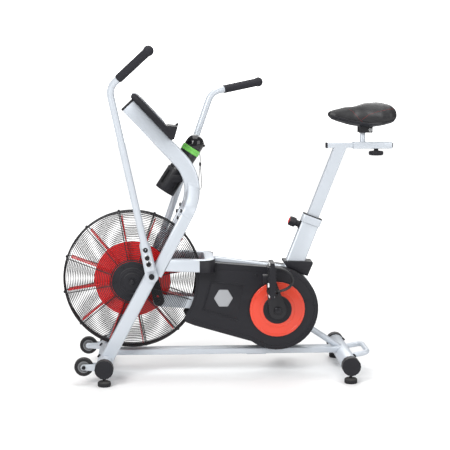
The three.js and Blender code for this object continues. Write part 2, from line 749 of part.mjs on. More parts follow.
function guard() {
  const half = GUARD.wire / 2
  const wireShape = new THREE.Shape(
    [
      [-half, -half],
      [half, -half],
      [half, half],
      [-half, half],
    ].map(([x, y]) => new THREE.Vector2(x, y)),
  )
  for (const side of [LEFT, RIGHT]) {
    const rings = [
      ring(GUARD.rimInner, GUARD.rimOuter, side * GAP, side * GUARD.rimDepth),
      ring(
        GUARD.rimInner + 3,
        GUARD.rimOuter - 3,
        side * (GUARD.edgeY - half),
        side * (GUARD.edgeY + half),
      ),
      ring(
        HUB_PLATE.radius + GAP,
        HUB_PLATE.radius + GAP + 5,
        side * (GUARD.hubY - half),
        side * (GUARD.hubY + half),
      ),
    ]
    const stays = []
    for (let i = 0; i < GUARD.stayCount; i++) {
      const angle = GUARD.firstStay + (i * 360) / GUARD.stayCount
      const outside = GUARD.rimInner + 5
      const edge = polar(outside, angle, side * GUARD.edgeY)
      stays.push(
        beam(
          polar(outside, angle, side * 3),
          polar(outside, angle, side * (GUARD.edgeY + half)),
          FORWARD,
          wireShape,
        ),
      )
      stays.push(beam(edge, polar(HUB_PLATE.radius + 3, angle, side * GUARD.hubY), SIDEWAYS, wireShape))
    }
    const shaftSpace = pin(PIVOT.x, PIVOT.z, side * 40, side * 120, PIVOT.shaftRadius + 5)
    const rodSpace = block(
      -190,
      -90,
      side * (ROD.y - ROD.thickness / 2 - 1.5),
      side * (guardDepth(200) + 6),
      LOWER_ARM.endZ - ROD.height / 2 - 12,
      LOWER_ARM.endZ + ROD.height / 2 + 6,
    )
    piece(
      `fan_guard_${sideName(side)}`,
      blackSteel,
      cut(join(...rings, ...stays), shaftSpace, rodSpace),
    )

    const inner = side * HUB_PLATE.innerY
    const disc = join(
      pin(FAN.x, FAN.z, inner, inner + side * HUB_PLATE.thickness, HUB_PLATE.radius, 0, 24),
      pin(FAN.x, FAN.z, inner, inner + side * (HUB_PLATE.thickness + 4), HUB_PLATE.stepRadius),
      pin(FAN.x, FAN.z, inner, inner + side * (HUB_PLATE.thickness + 7), HUB_PLATE.bossRadius))
    const axleHole = pin(FAN.x, FAN.z, side * 60, side * 110, AXLE.radius + GAP)
    piece(`hub_plate_${sideName(side)}`, blackPlastic, cut(disc, axleHole, shaftSpace))
  }
}

// --------------------------------------------------------------------- drive
function driveBelt() {
  const outer = beltOutline(GAP + BELT.thickness)
  const inner = beltOutline(GAP)
  outer.holes.push(inner)
  piece('drive_belt', rubber, plate(outer, PULLEY.y - BELT.width / 2, PULLEY.y + BELT.width / 2, 12))
}

const beltOutline = (clear) => taperOutline(
  CRANK.x,
  CRANK.z,
  PULLEY.crankRadius + clear,
  FAN.x,
  FAN.z,
  PULLEY.fanRadius + clear,
)

const eccentricX = (side) => CRANK.x - side * ECCENTRIC.throw

/** An off-centre disc that drives a push rod's ring; it starts at `inner`. */
const eccentric = (side, inner) => pin(
  eccentricX(side),
  CRANK.z,
  side * inner,
  side * (ECCENTRIC.y + ECCENTRIC.thickness / 2),
  ECCENTRIC.radius,
  0,
  24,
)

function crankset() {
  const reach = ARM.innerY + ARM.thickness + 2
  const axle = pin(CRANK.x, CRANK.z, -reach, reach, CRANK.axleRadius)
  piece('crank_axle', zincSteel, axle)
  const axleSpace = pin(CRANK.x, CRANK.z, -reach - 5, reach + 5, CRANK.axleRadius + GAP)
  const wheel = pin(
    CRANK.x,
    CRANK.z,
    PULLEY.y - PULLEY.width / 2,
    PULLEY.y + PULLEY.width / 2,
    PULLEY.crankRadius,
    0,
    32,
  )
  const { windowCount, windowRing, windowRadius, firstWindow } = PULLEY
  const windows = Array.from({ length: windowCount }, (_, i) => {
    const angle = rad((360 / windowCount) * i + firstWindow)
    const [x, z] = [CRANK.x + windowRing * Math.cos(angle), CRANK.z + windowRing * Math.sin(angle)]
    return pin(x, z, 0, PULLEY.y * 2, windowRadius, 0, 12)
  })
  piece(
    'crank_pulley',
    blackSteel,
    cut(join(cut(wheel, ...windows), eccentric(RIGHT, PULLEY.y + PULLEY.width / 2 - 1)), axleSpace),
  )
  piece(
    'eccentric_left',
    blackSteel,
    cut(eccentric(LEFT, ECCENTRIC.y - ECCENTRIC.thickness / 2), axleSpace),
  )

  for (const side of [LEFT, RIGHT]) {
    const inner = side * CRANK_DISC.innerY
    const outer = inner + side * CRANK_DISC.thickness
    const rim = join(
      pin(CRANK.x, CRANK.z, inner, outer, CRANK_DISC.radius, 0, 32),
      pin(CRANK.x, CRANK.z, inner, outer + side * 4, CRANK_DISC.hubRadius, 0, 20))
    piece(`crank_disc_${sideName(side)}`, orangePlastic, cut(rim, axleSpace))

    const end = pedalCentre(side)
    const arm = plate(
      taperOutline(CRANK.x, CRANK.z, ARM.bossRadius, end.x, end.z, ARM.endRadius),
      side * ARM.innerY,
      side * (ARM.innerY + ARM.thickness),
      8,
    )
    const spindleHole = pin(end.x, end.z, side * 80, side * 130, PEDAL.spindleRadius + RUNNING_GAP)
    piece(`crank_arm_${sideName(side)}`, blackSteel, cut(arm, axleSpace, spindleHole))
  }
}

function pedalCentre(side) {
  const up = side === LEFT ? 1 : -1
  return at(
    CRANK.x - up * CRANK.armLength * Math.sin(rad(CRANK.lean)),
    0,
    CRANK.z + up * CRANK.armLength * Math.cos(rad(CRANK.lean)),
  )
}

function pedals() {
  for (const side of [LEFT, RIGHT]) {
    const c = pedalCentre(side)
    const [inner, outer] = [side * PEDAL.innerY, side * (PEDAL.innerY + PEDAL.width)]
    const half = PEDAL.length / 2
    const body = new THREE.Shape(
      roundedRectangle(PEDAL.thickness, PEDAL.length - 30, 4).getPoints(3).map(
        (p) => new THREE.Vector2(p.x + c.x, p.y + c.z)
      ),
    )
    const cage = plate(body, inner, outer, 3)
    const holes = [-1, 1].map(
      (end) => block(
        c.x - 40,
        c.x + 40,
        side * (PEDAL.innerY + 16),
        side * (PEDAL.innerY + PEDAL.width - 16),
        c.z + end * 24,
        c.z + end * 46,
      ),
    )
    const toe = block(c.x - 8, c.x + 8, inner, outer, c.z + half - 17, c.z + half)
    const heel = block(c.x - 8, c.x + 8, inner, outer, c.z - half, c.z - half + 17)
    const barrel = pin(c.x, c.z, inner, outer, 15, 0, 16)
    const spindle = pin(
      c.x,
      c.z,
      side * (ARM.innerY + 1),
      side * (PEDAL.innerY + 20),
      PEDAL.spindleRadius,
      0,
      16,
    )
    piece(
      `pedal_${sideName(side)}`,
      blackPlastic,
      join(cut(cage, ...holes), barrel, toe, heel, spindle),
    )

    const strapY = side * (PEDAL.innerY + PEDAL.width / 2)
    const face = c.x + PEDAL.thickness / 2 + GAP
    const outline = new THREE.Shape()
    outline.moveTo(face, c.z + 48)
    outline.bezierCurveTo(
      face + STRAP.reach,
      c.z + 44,
      face + STRAP.reach * 1.1,
      c.z - 46,
      face,
      c.z - 48,
    )
    outline.lineTo(face, c.z - 48 + STRAP.thickness)
    outline.bezierCurveTo(
      face + STRAP.reach * 1.05 - STRAP.thickness,
      c.z - 42,
      face + STRAP.reach * 0.95 - STRAP.thickness,
      c.z + 40,
      face,
      c.z + 48 - STRAP.thickness,
    )
    piece(
      `pedal_strap_${sideName(side)}`,
      rubber,
      plate(outline, strapY - STRAP.width / 2, strapY + STRAP.width / 2, 12),
    )
  }
}

/** Turns a solid about the lever pivots' common axis. */
function turnAboutPivot(shape, degrees) {
  return shape.translate([-PIVOT.x, 0, -PIVOT.z]).rotate([0, degrees, 0]).translate([PIVOT.x, 0, PIVOT.z])
}

const leverTurn = (side) => (side === LEFT ? 0 : LEVER.lean + LEVER.farLean)

function levers() {
  const lean = rad(LEVER.lean)
  const up = at(-Math.sin(lean), 0, Math.cos(lean))
  const across = at(Math.cos(lean), 0, Math.sin(lean))
  for (const side of [LEFT, RIGHT]) {
    const turn = (shape) => turnAboutPivot(shape, leverTurn(side))
    const pivot = at(PIVOT.x, 0, PIVOT.z)
    const onLever = (distance, y) => pivot.clone().addScaledVector(up, distance).add(at(0, side * y, 0))
    const start = onLever(26, leverFootY)
    const straight = onLever(BRACKET.top + 20, leverFootY)
    const corner = onLever(LEVER.length, (leverFootY + LEVER.bendOut))
    const endCentre = at(GRIP.endX, side * (LEVER.gripY - GRIP.ballRadius), GRIP.endZ)
    const gripLine = endCentre.clone().sub(corner).normalize()
    const gripStart = endCentre.clone().addScaledVector(gripLine, -GRIP.length)
    const path = bentPath(
      straight,
      corner,
      endCentre.clone().addScaledVector(gripLine, -4),
      LEVER.bendRadius,
      8,
    )
    const points = [start, straight.clone().lerp(start, 0.5), straight, ...path.slice(1)]
    const geometry = new THREE.ExtrudeGeometry(
      circle(LEVER.tubeRadius),
      {
        extrudePath: new PointPath(points), steps: points.length - 1, bevelEnabled: false,
        curveSegments: 7,
      },
    )
    flattenFoot(geometry, pivot, up, across, side)
    piece(`lever_${sideName(side)}`, silverPaint, turn(solid(geometry)))

    const boreLine = rod(
      gripStart.clone().addScaledVector(gripLine, -5),
      endCentre.clone().addScaledVector(gripLine, -3.5),
      LEVER.tubeRadius - 0.2 + GAP * 2,
      0,
      16,
    )
    const sleeve = rod(gripStart, endCentre, GRIP.radius, 0, 16)
    const ball = solid(
      new THREE.SphereGeometry(GRIP.ballRadius, 16, 8).translate(endCentre.x, endCentre.y, endCentre.z)
    )
    piece(`grip_${sideName(side)}`, foam, turn(cut(join(sleeve, ball), boreLine)))

    const inner = side * BRACKET.innerY
    const outer = inner + side * BRACKET.thickness
    const top = onLever(BRACKET.top, 0)
    const back = plate(
      taperOutline(PIVOT.x, PIVOT.z, BRACKET.halfWidth, top.x, top.z, BRACKET.halfWidth - 3),
      inner,
      outer,
    )
    const shaft = pin(PIVOT.x, PIVOT.z, side * LOWER_ARM.innerY, outer, PIVOT.shaftRadius)
    const armTip = at(LOWER_ARM.endX, 0, LOWER_ARM.endZ)
    const lower = plate(
      taperOutline(PIVOT.x, PIVOT.z, LOWER_ARM.radius, armTip.x, armTip.z, LOWER_ARM.radius),
      side * LOWER_ARM.innerY,
      side * LOWER_ARM.outerY,
    )
    const rodHole = pin(
      armTip.x,
      armTip.z,
      side * 40,
      side * 80,
      LOWER_ARM.pinRadius + RUNNING_GAP,
      0,
      16,
    )
    piece(`pivot_arm_${sideName(side)}`, silverPaint, turn(cut(join(back, shaft, lower), rodHole)))
  }
}

/** The lower end of the tube is pressed flat for the bolts. */
function flattenFoot(geometry, pivot, up, across, side) {
  const position = geometry.getAttribute('position')
  const point = new THREE.Vector3()
  for (let i = 0; i < position.count; i++) {
    point.fromBufferAttribute(position, i)
    const offset = point.clone().sub(pivot)
    const distance = offset.dot(up)
    if (distance > BRACKET.top + 10) continue
    const sidewaysOffset = point.y - side * leverFootY
    const acrossOffset = offset.dot(across)
    point.y = side * leverFootY + sidewaysOffset * 0.6
    point.addScaledVector(across, acrossOffset * 0.36)
    position.setXYZ(i, point.x, point.y, point.z)
  }
}

function pushRods() {
  for (const side of [LEFT, RIGHT]) {
    const tip = leverTip(side)
    const [inner, outer] = [side * (ROD.y - ROD.thickness / 2), side * (ROD.y + ROD.thickness / 2)]
    const ringX = eccentricX(side)
    const ringOutline = new THREE.Shape().absarc(ringX, CRANK.z, ROD.ringRadius, 0, Math.PI * 2)
    const bar = plate(
      taperOutline(
        tip.x,
        tip.z,
        ROD.noseRadius,
        ringX - ROD.ringRadius + 10,
        CRANK.z,
        ROD.noseRadius - 4,
      ),
      inner,
      outer,
    )
    const strap = plate(ringOutline, inner, outer, 12)
    const bore = pin(ringX, CRANK.z, side * 40, side * 70, ROD.boreRadius, 0, 24)
    const pinOuter = side * (LOWER_ARM.outerY + 1)
    const stub = pin(tip.x, tip.z, inner, pinOuter, LOWER_ARM.pinRadius, 0, 16)
    piece(`push_rod_${sideName(side)}`, silverPaint, join(cut(join(bar, strap), bore), stub))
  }
}

/** The pin at a lower arm's end, with that side's lever as it stands at rest. */
function leverTip(side) {
  const angle = rad(leverTurn(side))
  const [x, z] = [LOWER_ARM.endX - PIVOT.x, LOWER_ARM.endZ - PIVOT.z]
  return at(
    PIVOT.x + x * Math.cos(angle) + z * Math.sin(angle),
    0,
    PIVOT.z - x * Math.sin(angle) + z * Math.cos(angle),
  )
}

// ----------------------------------------------------------- shroud and band
/** The shroud's side outline, drawn smaller by `inset`. */
function shroudOutline(inset) {
  const { x, z } = CRANK
  const r = SHROUD.roundRadius - inset
  const guardR = SHROUD.guardRadius
  const onGuard = (degrees) => [
    FAN.x + guardR * Math.cos(rad(degrees)),
    FAN.z + guardR * Math.sin(rad(degrees)),
  ]
  const shape = new THREE.Shape()
  shape.absarc(x, z, r, rad(SHROUD.roundFrom), rad(SHROUD.roundTo), true)
  const [heel, toe] = SHROUD.chin
  shape.lineTo(heel[0], heel[1] + inset)
  shape.lineTo(toe[0] - inset * 0.3, toe[1] + inset)
  for (let turn = SHROUD.guardFrom; turn <= SHROUD.guardTo; turn += SHROUD.guardStep) {
    shape.lineTo(...onGuard(turn))
  }
  const [front, top] = SHROUD.brow
  shape.lineTo(...front)
  shape.lineTo(top[0], top[1] - inset)
  shape.closePath()
  return shape
}

function shroud() {
  for (const side of [LEFT, RIGHT]) {
    const shell = plate(shroudOutline(0), side * SHROUD.seam, side * SHROUD.halfWidth, SHROUD.rim)
    const room = plate(
      shroudOutline(SHROUD.wall),
      side * (SHROUD.seam - 1),
      side * (SHROUD.halfWidth - SHROUD.wall),
      12,
    )
    const mouth = pin(
      FAN.x,
      FAN.z,
      side * (SHROUD.seam - 1),
      side * (SHROUD.halfWidth - SHROUD.wall),
      GUARD.rimOuter + 3,
      0,
      36,
    )
    const bridge = block(
      -140,
      RAIL.bridgeX + RAIL.width / 2 + 2,
      -130,
      130,
      RAIL.rearZ - RAIL.height / 2 - 2,
      RAIL.rearZ + RAIL.height / 2 + 4,
    )
    const axleHole = pin(CRANK.x, CRANK.z, side * 60, side * 80, CRANK.axleRadius + 4)
    const { fromX, toX, bottom, top } = SHROUD.rodSlot
    const rodHole = block(fromX, toX, side * 20, side * (SHROUD.halfWidth - SHROUD.wall), bottom, top)
    const stay = rearStaySpace()
    const bootSpace = seatTubeSpace(60)
    piece(
      `shroud_${sideName(side)}`,
      blackPlastic,
      cut(shell, room, mouth, bridge, axleHole, rodHole, stay, bootSpace, baseSpace()),
    )
  }
}

const baseSpace = () => block(
  -300,
  440,
  -BASE_TUBE.halfWidth - 1,
  BASE_TUBE.halfWidth + 1,
  BASE_TUBE.bottom - 10,
  BASE_TUBE.bottom + BASE_TUBE.height + 1.5,
)

// ------------------------------------------------------------------ seat frame
const seatUp = at(Math.sin(rad(SEAT_LEAN)), 0, Math.cos(rad(SEAT_LEAN)))
const seatFront = at(-seatUp.z, 0, seatUp.x)
const seatTop = at(SEAT_TUBE.topX, 0, SEAT_TUBE.topZ)
const onSeatTube = (
  distance,
  front = 0,
  y = 0,
) => seatTop.clone().addScaledVector(seatUp, distance).addScaledVector(seatFront, front).add(at(0, y, 0))

const seatTubeSpace = (length) => beam(
  onSeatTube(-SEAT_TUBE.boreDepth - length),
  onSeatTube(10),
  SIDEWAYS,
  section(SEAT_TUBE.width + 6, SEAT_TUBE.depth + 2 * GAP, 6),
)

const REAR_STAY = { fromX: 262, fromZ: 214, toX: 438, toZ: 92, radius: 12 }
const rearStaySpace = () => rod(
  at(REAR_STAY.fromX, 0, REAR_STAY.fromZ),
  at(REAR_STAY.toX, 0, REAR_STAY.toZ),
  REAR_STAY.radius + 1,
)

function seatFrame() {
  const shell = pin(CRANK.x, CRANK.z, -CRANK.shellHalfLength, CRANK.shellHalfLength, CRANK.shellRadius)
  const shellBore = pin(CRANK.x, CRANK.z, -40, 40, CRANK.axleRadius + RUNNING_GAP)
  const tube = beam(
    onSeatTube(-SEAT_TUBE.boreDepth - 14),
    seatTop,
    SIDEWAYS,
    section(SEAT_TUBE.width, SEAT_TUBE.depth, 6),
  )
  const bore = beam(
    onSeatTube(-SEAT_TUBE.boreDepth),
    onSeatTube(5),
    SIDEWAYS,
    section(SEAT_TUBE.width - 2 * SEAT_TUBE.wall, SEAT_TUBE.depth - 2 * SEAT_TUBE.wall, 4),
  )
  const strutTop = at(CRANK.x - 4, 0, CRANK.z)
  const strutFoot = at(CRANK.x - 40, 0, BASE_TUBE.bottom + BASE_TUBE.height + GAP)
  const strut = beam(strutFoot, strutTop, SIDEWAYS, section(40, 50, 6))
  const floorCut = block(0, 500, -80, 80, 0, BASE_TUBE.bottom + BASE_TUBE.height + GAP)
  const stay = rod(at(CRANK.x, 0, CRANK.z), at(REAR_STAY.toX, 0, REAR_STAY.toZ), REAR_STAY.radius)
  const stabiliser = pin(STABILISER.rearX, STABILISER.height, -80, 80, STABILISER.radius + GAP)
  const band = plate(bandOutline(), -BAND.halfWidth, BAND.halfWidth, 9)
  const knobHole = rod(
    onSeatTube(-KNOB.along, 20),
    onSeatTube(-KNOB.along, 50),
    KNOB.neckRadius + RUNNING_GAP,
    0,
    16,
  )
  piece(
    'seat_frame',
    silverPaint,
    cut(join(tube, shell, strut, stay, band), bore, shellBore, floorCut, stabiliser, knobHole),
  )
}

/** The strip along the shroud's top and round its back. */
function bandOutline() {
  const outer = SHROUD.roundRadius + 1
  const inner = outer - BAND.thickness
  const front = RAIL.bridgeX + RAIL.width / 2 + 2
  const shape = new THREE.Shape()
  shape.moveTo(front, RAIL.rearZ + 2)
  shape.lineTo(front, RAIL.rearZ + RAIL.height / 2 - 4)
  shape.absarc(CRANK.x, CRANK.z, outer, rad(SHROUD.roundFrom), rad(BAND.rearEnd), true)
  shape.absarc(CRANK.x, CRANK.z, inner, rad(BAND.rearEnd), rad(SHROUD.roundFrom), false)
  shape.lineTo(CRANK.x - 20, CRANK.z + inner + 2)
  return shape
}

function seatFittings() {
  const boot = new THREE.Shape(BOOT.outline.map(([x, z]) => new THREE.Vector2(x, z)))
  const bootSide = SEAT_TUBE.width / 2 + BOOT.overhang
  const solidBoot = plate(boot, -bootSide, bootSide)
  const arc = pin(CRANK.x, CRANK.z, -90, 90, SHROUD.roundRadius + 1 + GAP, 0, 60)
  const tubeSpace = beam(
    onSeatTube(-260),
    onSeatTube(0),
    SIDEWAYS,
    section(SEAT_TUBE.width + 2 * GAP, SEAT_TUBE.depth + 2 * GAP, 6),
  )
  piece('seat_tube_boot', blackPlastic, cut(solidBoot, arc, tubeSpace))

  const collar = beam(
    onSeatTube(-SLEEVE.collar),
    onSeatTube(SLEEVE.thickness),
    SIDEWAYS,
    section(SEAT_TUBE.width + 2 * SLEEVE.thickness, SEAT_TUBE.depth + 2 * SLEEVE.thickness, 8),
  )
  const tubeRoom = beam(
    onSeatTube(-SLEEVE.collar - 5),
    onSeatTube(GAP),
    SIDEWAYS,
    section(SEAT_TUBE.width + 2 * GAP, SEAT_TUBE.depth + 2 * GAP, 6),
  )
  const liner = beam(
    onSeatTube(-SLEEVE.liner),
    onSeatTube(SLEEVE.thickness),
    SIDEWAYS,
    section(
      SEAT_TUBE.width - 2 * SEAT_TUBE.wall - 2 * GAP,
      SEAT_TUBE.depth - 2 * SEAT_TUBE.wall - 2 * GAP,
      4,
    ),
  )
  const postRoom = beam(
    onSeatTube(-SLEEVE.liner - 5),
    onSeatTube(20),
    SIDEWAYS,
    section(SEAT_POST.width + 2 * RUNNING_GAP, SEAT_POST.depth + 2 * RUNNING_GAP, 4),
  )
  const pinRoom = rod(
    onSeatTube(-KNOB.along, 10),
    onSeatTube(-KNOB.along, 60),
    KNOB.neckRadius + RUNNING_GAP,
    0,
    16,
  )
  piece('seat_tube_sleeve', blackPlastic, cut(join(cut(collar, tubeRoom), liner), postRoom, pinRoom))

  const face = SEAT_TUBE.depth / 2
  const stem = rod(
    onSeatTube(-KNOB.along, SEAT_POST.depth / 2 + 1),
    onSeatTube(-KNOB.along, face + 24),
    KNOB.neckRadius,
    0,
    16,
  )
  const head = rod(
    onSeatTube(-KNOB.along, face + 18),
    onSeatTube(-KNOB.along, face + 18 + KNOB.length),
    KNOB.radius,
  )
  const shoulder = rod(
    onSeatTube(-KNOB.along, face + 2),
    onSeatTube(-KNOB.along, face + 21),
    KNOB.neckRadius + 5,
    0,
    16,
  )
  piece('post_knob', blackPlastic, join(stem, shoulder, head))
}

function seat() {
  const top = onSeatTube((SEAT_POST.topZ - SEAT_TUBE.topZ) / seatUp.z)
  const bottomInTube = onSeatTube(-SEAT_POST.insert)
  const post = beam(
    bottomInTube,
    top,
    SIDEWAYS,
    section(SEAT_POST.width, SEAT_POST.depth, 5, SEAT_POST.wall),
  )
  const rail = beam(
    at(SEAT_RAIL.frontX, 0, SEAT_RAIL.z),
    at(SEAT_RAIL.rearX, 0, SEAT_RAIL.z),
    SIDEWAYS,
    section(SEAT_RAIL.width, SEAT_RAIL.height, 3, SEAT_RAIL.wall),
  )
  const railRoom = beam(
    at(SEAT_RAIL.frontX - 5, 0, SEAT_RAIL.z),
    at(SEAT_RAIL.rearX + 5, 0, SEAT_RAIL.z),
    SIDEWAYS,
    section(SEAT_RAIL.width - 2 * SEAT_RAIL.wall, SEAT_RAIL.height - 2 * SEAT_RAIL.wall, 2),
  )
  piece('seat_post', silverPaint, join(cut(post, railRoom), rail))

  const slider = beam(
    at(SLIDER.frontX, 0, SEAT_RAIL.z),
    at(SLIDER.rearX, 0, SEAT_RAIL.z),
    SIDEWAYS,
    section(SLIDER.width, SLIDER.height, 4),
  )
  const room = beam(
    at(SLIDER.frontX - 5, 0, SEAT_RAIL.z),
    at(SLIDER.rearX + 5, 0, SEAT_RAIL.z),
    SIDEWAYS,
    section(SEAT_RAIL.width + 2 * RUNNING_GAP, SEAT_RAIL.height + 2 * RUNNING_GAP, 3),
  )
  const upright = rod(
    at(SLIDER.postX, 0, SEAT_RAIL.z + SLIDER.height / 2 - 2),
    at(SLIDER.postX, 0, SLIDER.postTop),
    SLIDER.postRadius,
  )
  const knobHole = rod(
    at(SLIDER_KNOB.x, 0, SEAT_RAIL.z - 40),
    at(SLIDER_KNOB.x, 0, SEAT_RAIL.z),
    SLIDER_KNOB.neckRadius + RUNNING_GAP,
    0,
    16,
  )
  piece('seat_slider', silverPaint, cut(join(cut(slider, room), upright), knobHole))

  const knobTop = SEAT_RAIL.z - SLIDER.height / 2 - SLIDER_KNOB.gapBelow
  const neck = rod(
    at(SLIDER_KNOB.x, 0, knobTop - 2),
    at(SLIDER_KNOB.x, 0, SEAT_RAIL.z - SEAT_RAIL.height / 2 - 1),
    SLIDER_KNOB.neckRadius,
    0,
    16,
  )
  const wheel = rod(
    at(SLIDER_KNOB.x, 0, knobTop - SLIDER_KNOB.length),
    at(SLIDER_KNOB.x, 0, knobTop),
    SLIDER_KNOB.radius,
  )
  piece('slider_knob', blackPlastic, join(neck, wheel))
  piece('saddle', leather, saddleSolid())
}

// share of the saddle's length from its nose, half width, top and underside
const SADDLE_STATIONS = [
  [0, 0, 1020, 1020], [0.03, 20, 1033, 1003], [0.1, 30, 1038, 993], [0.38, 46, 1048, 974],
  [0.58, 78, 1063, 967], [0.75, 101, 1067, 971], [0.88, 100, 1061, 980], [0.96, 76, 1045, 992],
  [1, 0, 1012, 1012],
]

function saddleProfile(share) {
  const next = Math.max(SADDLE_STATIONS.findIndex(([s]) => s >= share), 1)
  const [low, high] = [SADDLE_STATIONS[next - 1], SADDLE_STATIONS[next]]
  const blend = (share - low[0]) / (high[0] - low[0])
  const last = next === SADDLE_STATIONS.length - 1
  const rounded = last ? 1 - Math.sqrt(1 - blend) : blend
  const eased = next === 1 ? Math.sqrt(blend) : rounded
  return [1, 2, 3].map((i) => THREE.MathUtils.lerp(low[i], high[i], eased))
}

function saddleSolid() {
  const length = SADDLE.rearX - SADDLE.frontX
  const geometry = new THREE.SphereGeometry(1, 18, 12).rotateZ(Math.PI / 2)
  const position = geometry.getAttribute('position')
  for (let i = 0; i < position.count; i++) {
    const share = THREE.MathUtils.clamp((position.getX(i) + 1) / 2, 0, 1)
    const [width, top, belly] = saddleProfile(share)
    const angle = Math.atan2(position.getZ(i), position.getY(i))
    const middle = THREE.MathUtils.lerp(belly, top, 0.35)
    const lift = Math.sin(angle) > 0 ? top - middle : middle - belly
    position.setXYZ(
      i,
      SADDLE.frontX + share * length,
      width * Math.cos(angle),
      middle + lift * Math.sin(angle),
    )
  }
  const clamp = block(
    SLIDER.postX - SADDLE.clampFront,
    SLIDER.postX + SADDLE.clampRear,
    -SADDLE.clampHalfWidth,
    SADDLE.clampHalfWidth,
    SADDLE.clampBottom,
    SADDLE.clampTop,
  )
  const postRoom = rod(
    at(SLIDER.postX, 0, SADDLE.clampBottom - 5),
    at(SLIDER.postX, 0, SLIDER.postTop + 3),
    SLIDER.postRadius + 4,
  )
  return cut(join(solid(geometry), clamp), postRoom)
}

// ---------------------------------------------------------- transport wheels
function transportWheels() {
  for (const side of [LEFT, RIGHT]) {
    const y = side * WHEEL.side
    const wheel = pin(
      WHEEL.x,
      WHEEL.z,
      y - WHEEL.width / 2,
      y + WHEEL.width / 2,
      WHEEL.radius,
      WHEEL.pinRadius + RUNNING_GAP,
      24,
    )
    piece(`transport_wheel_${sideName(side)}`, rubber, wheel)
  }
}

stabilisers()
baseTube()
sideStructure()
sideRails()
mast()
consolePiece()
bottle()
fan()
guard()
driveBelt()
crankset()
pedals()
levers()
pushRods()
shroud()
seatFrame()
seatFittings()
seat()
transportWheels()

export default group
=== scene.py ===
import json
import math

import bmesh
import bpy
from mathutils import Matrix, Vector

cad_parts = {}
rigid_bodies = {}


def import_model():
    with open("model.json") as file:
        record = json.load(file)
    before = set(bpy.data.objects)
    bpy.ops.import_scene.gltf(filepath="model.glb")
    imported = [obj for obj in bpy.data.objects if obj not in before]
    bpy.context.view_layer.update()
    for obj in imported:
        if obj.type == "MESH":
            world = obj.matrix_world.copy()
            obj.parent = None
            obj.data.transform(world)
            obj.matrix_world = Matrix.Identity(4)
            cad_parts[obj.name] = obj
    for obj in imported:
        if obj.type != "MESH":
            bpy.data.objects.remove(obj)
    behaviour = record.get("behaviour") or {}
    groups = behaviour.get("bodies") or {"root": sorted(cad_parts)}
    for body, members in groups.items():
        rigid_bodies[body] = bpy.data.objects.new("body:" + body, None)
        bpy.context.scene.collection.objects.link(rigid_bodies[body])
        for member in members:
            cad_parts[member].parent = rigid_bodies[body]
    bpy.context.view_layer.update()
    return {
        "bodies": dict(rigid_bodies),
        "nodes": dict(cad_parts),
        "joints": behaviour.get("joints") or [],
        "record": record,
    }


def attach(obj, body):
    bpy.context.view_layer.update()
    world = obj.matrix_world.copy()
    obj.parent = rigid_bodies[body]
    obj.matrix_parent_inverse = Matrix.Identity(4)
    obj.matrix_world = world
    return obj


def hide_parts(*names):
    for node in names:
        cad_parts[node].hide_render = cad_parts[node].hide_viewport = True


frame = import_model()
nodes = frame["nodes"]

# ------------------------------------------------------------------ the view
# The bike stands broadside, seen from the rider's left and from about chest
# height, by a long lens that hardly narrows the far side.
camera_data = bpy.data.cameras.new("side_view")
camera_data.lens = 103.0
camera_data.sensor_width = 36.0
camera = bpy.data.objects.new("side_view", camera_data)
camera.location = (-0.294, -5.0, 1.232)
camera.rotation_euler = (math.radians(90 - 7.36), 0.0, math.radians(-3.14))
bpy.context.scene.collection.objects.link(camera)
bpy.context.scene.camera = camera
bpy.context.scene.view_settings.view_transform = "Standard"


# --------------------------------------------------------- floor and lighting
# A pale seamless studio floor, and broad soft lights from the front left, the
# right and behind, so that the silver tubes keep a bright and a dark side.
def add_node(tree, kind, at=(0, 0), feed=None, **settings):
    """One node of a tree; feed sets its inputs, to values or other nodes' outputs."""
    node = tree.nodes.new(kind)
    node.location = at
    for name, value in settings.items():
        setattr(node, name, value)
    for name, source in (feed or {}).items():
        if isinstance(source, bpy.types.NodeSocket):
            tree.links.new(source, node.inputs[name])
        else:
            node.inputs[name].default_value = source
    return node


def set_inputs(node, **values):
    """Sets a node's own sockets by name; an underscore stands for a space."""
    for name, value in values.items():
        node.inputs[name.replace("_", " ")].default_value = value
    return node


def floor_material():
    material = bpy.data.materials.new("studio_floor")
    material.use_nodes = True
    tree = material.node_tree
    shader = tree.nodes["Principled BSDF"]
    place = add_node(tree, "ShaderNodeTexCoord", (-800, 0))
    cloud = set_inputs(add_node(tree, "ShaderNodeTexNoise", (-600, 0)), Scale=1.4, Detail=2.0)
    tone = add_node(tree, "ShaderNodeValToRGB", (-400, 0))
    tone.color_ramp.elements[0].color = (0.86, 0.86, 0.86, 1)
    tone.color_ramp.elements[1].color = (0.90, 0.90, 0.90, 1)
    tree.links.new(place.outputs["Object"], cloud.inputs["Vector"])
    tree.links.new(cloud.outputs["Fac"], tone.inputs["Fac"])
    tree.links.new(tone.outputs["Color"], shader.inputs["Base Color"])
    shader.inputs["Roughness"].default_value = 0.75
    reach = add_node(tree, "ShaderNodeVectorMath", (-600, -300), operation="LENGTH")
    lift = set_inputs(add_node(tree, "ShaderNodeMapRange", (-400, -300)), From_Min=1.0, From_Max=5.0, To_Min=0.05,
                      To_Max=0.9)
    tree.links.new(place.outputs["Object"], reach.inputs[0])
    tree.links.new(reach.outputs["Value"], lift.inputs["Value"])
    seen = add_node(tree, "ShaderNodeLightPath", (-400, -500))
    shown = add_node(tree, "ShaderNodeMath", (-200, -400), operation="MULTIPLY", feed={
        0: lift.outputs["Result"], 1: seen.outputs["Is Camera Ray"]})
    tree.links.new(shown.outputs["Value"], shader.inputs["Emission Strength"])
    shader.inputs["Emission Color"].default_value = (1.0, 1.0, 1.0, 1)
    return material


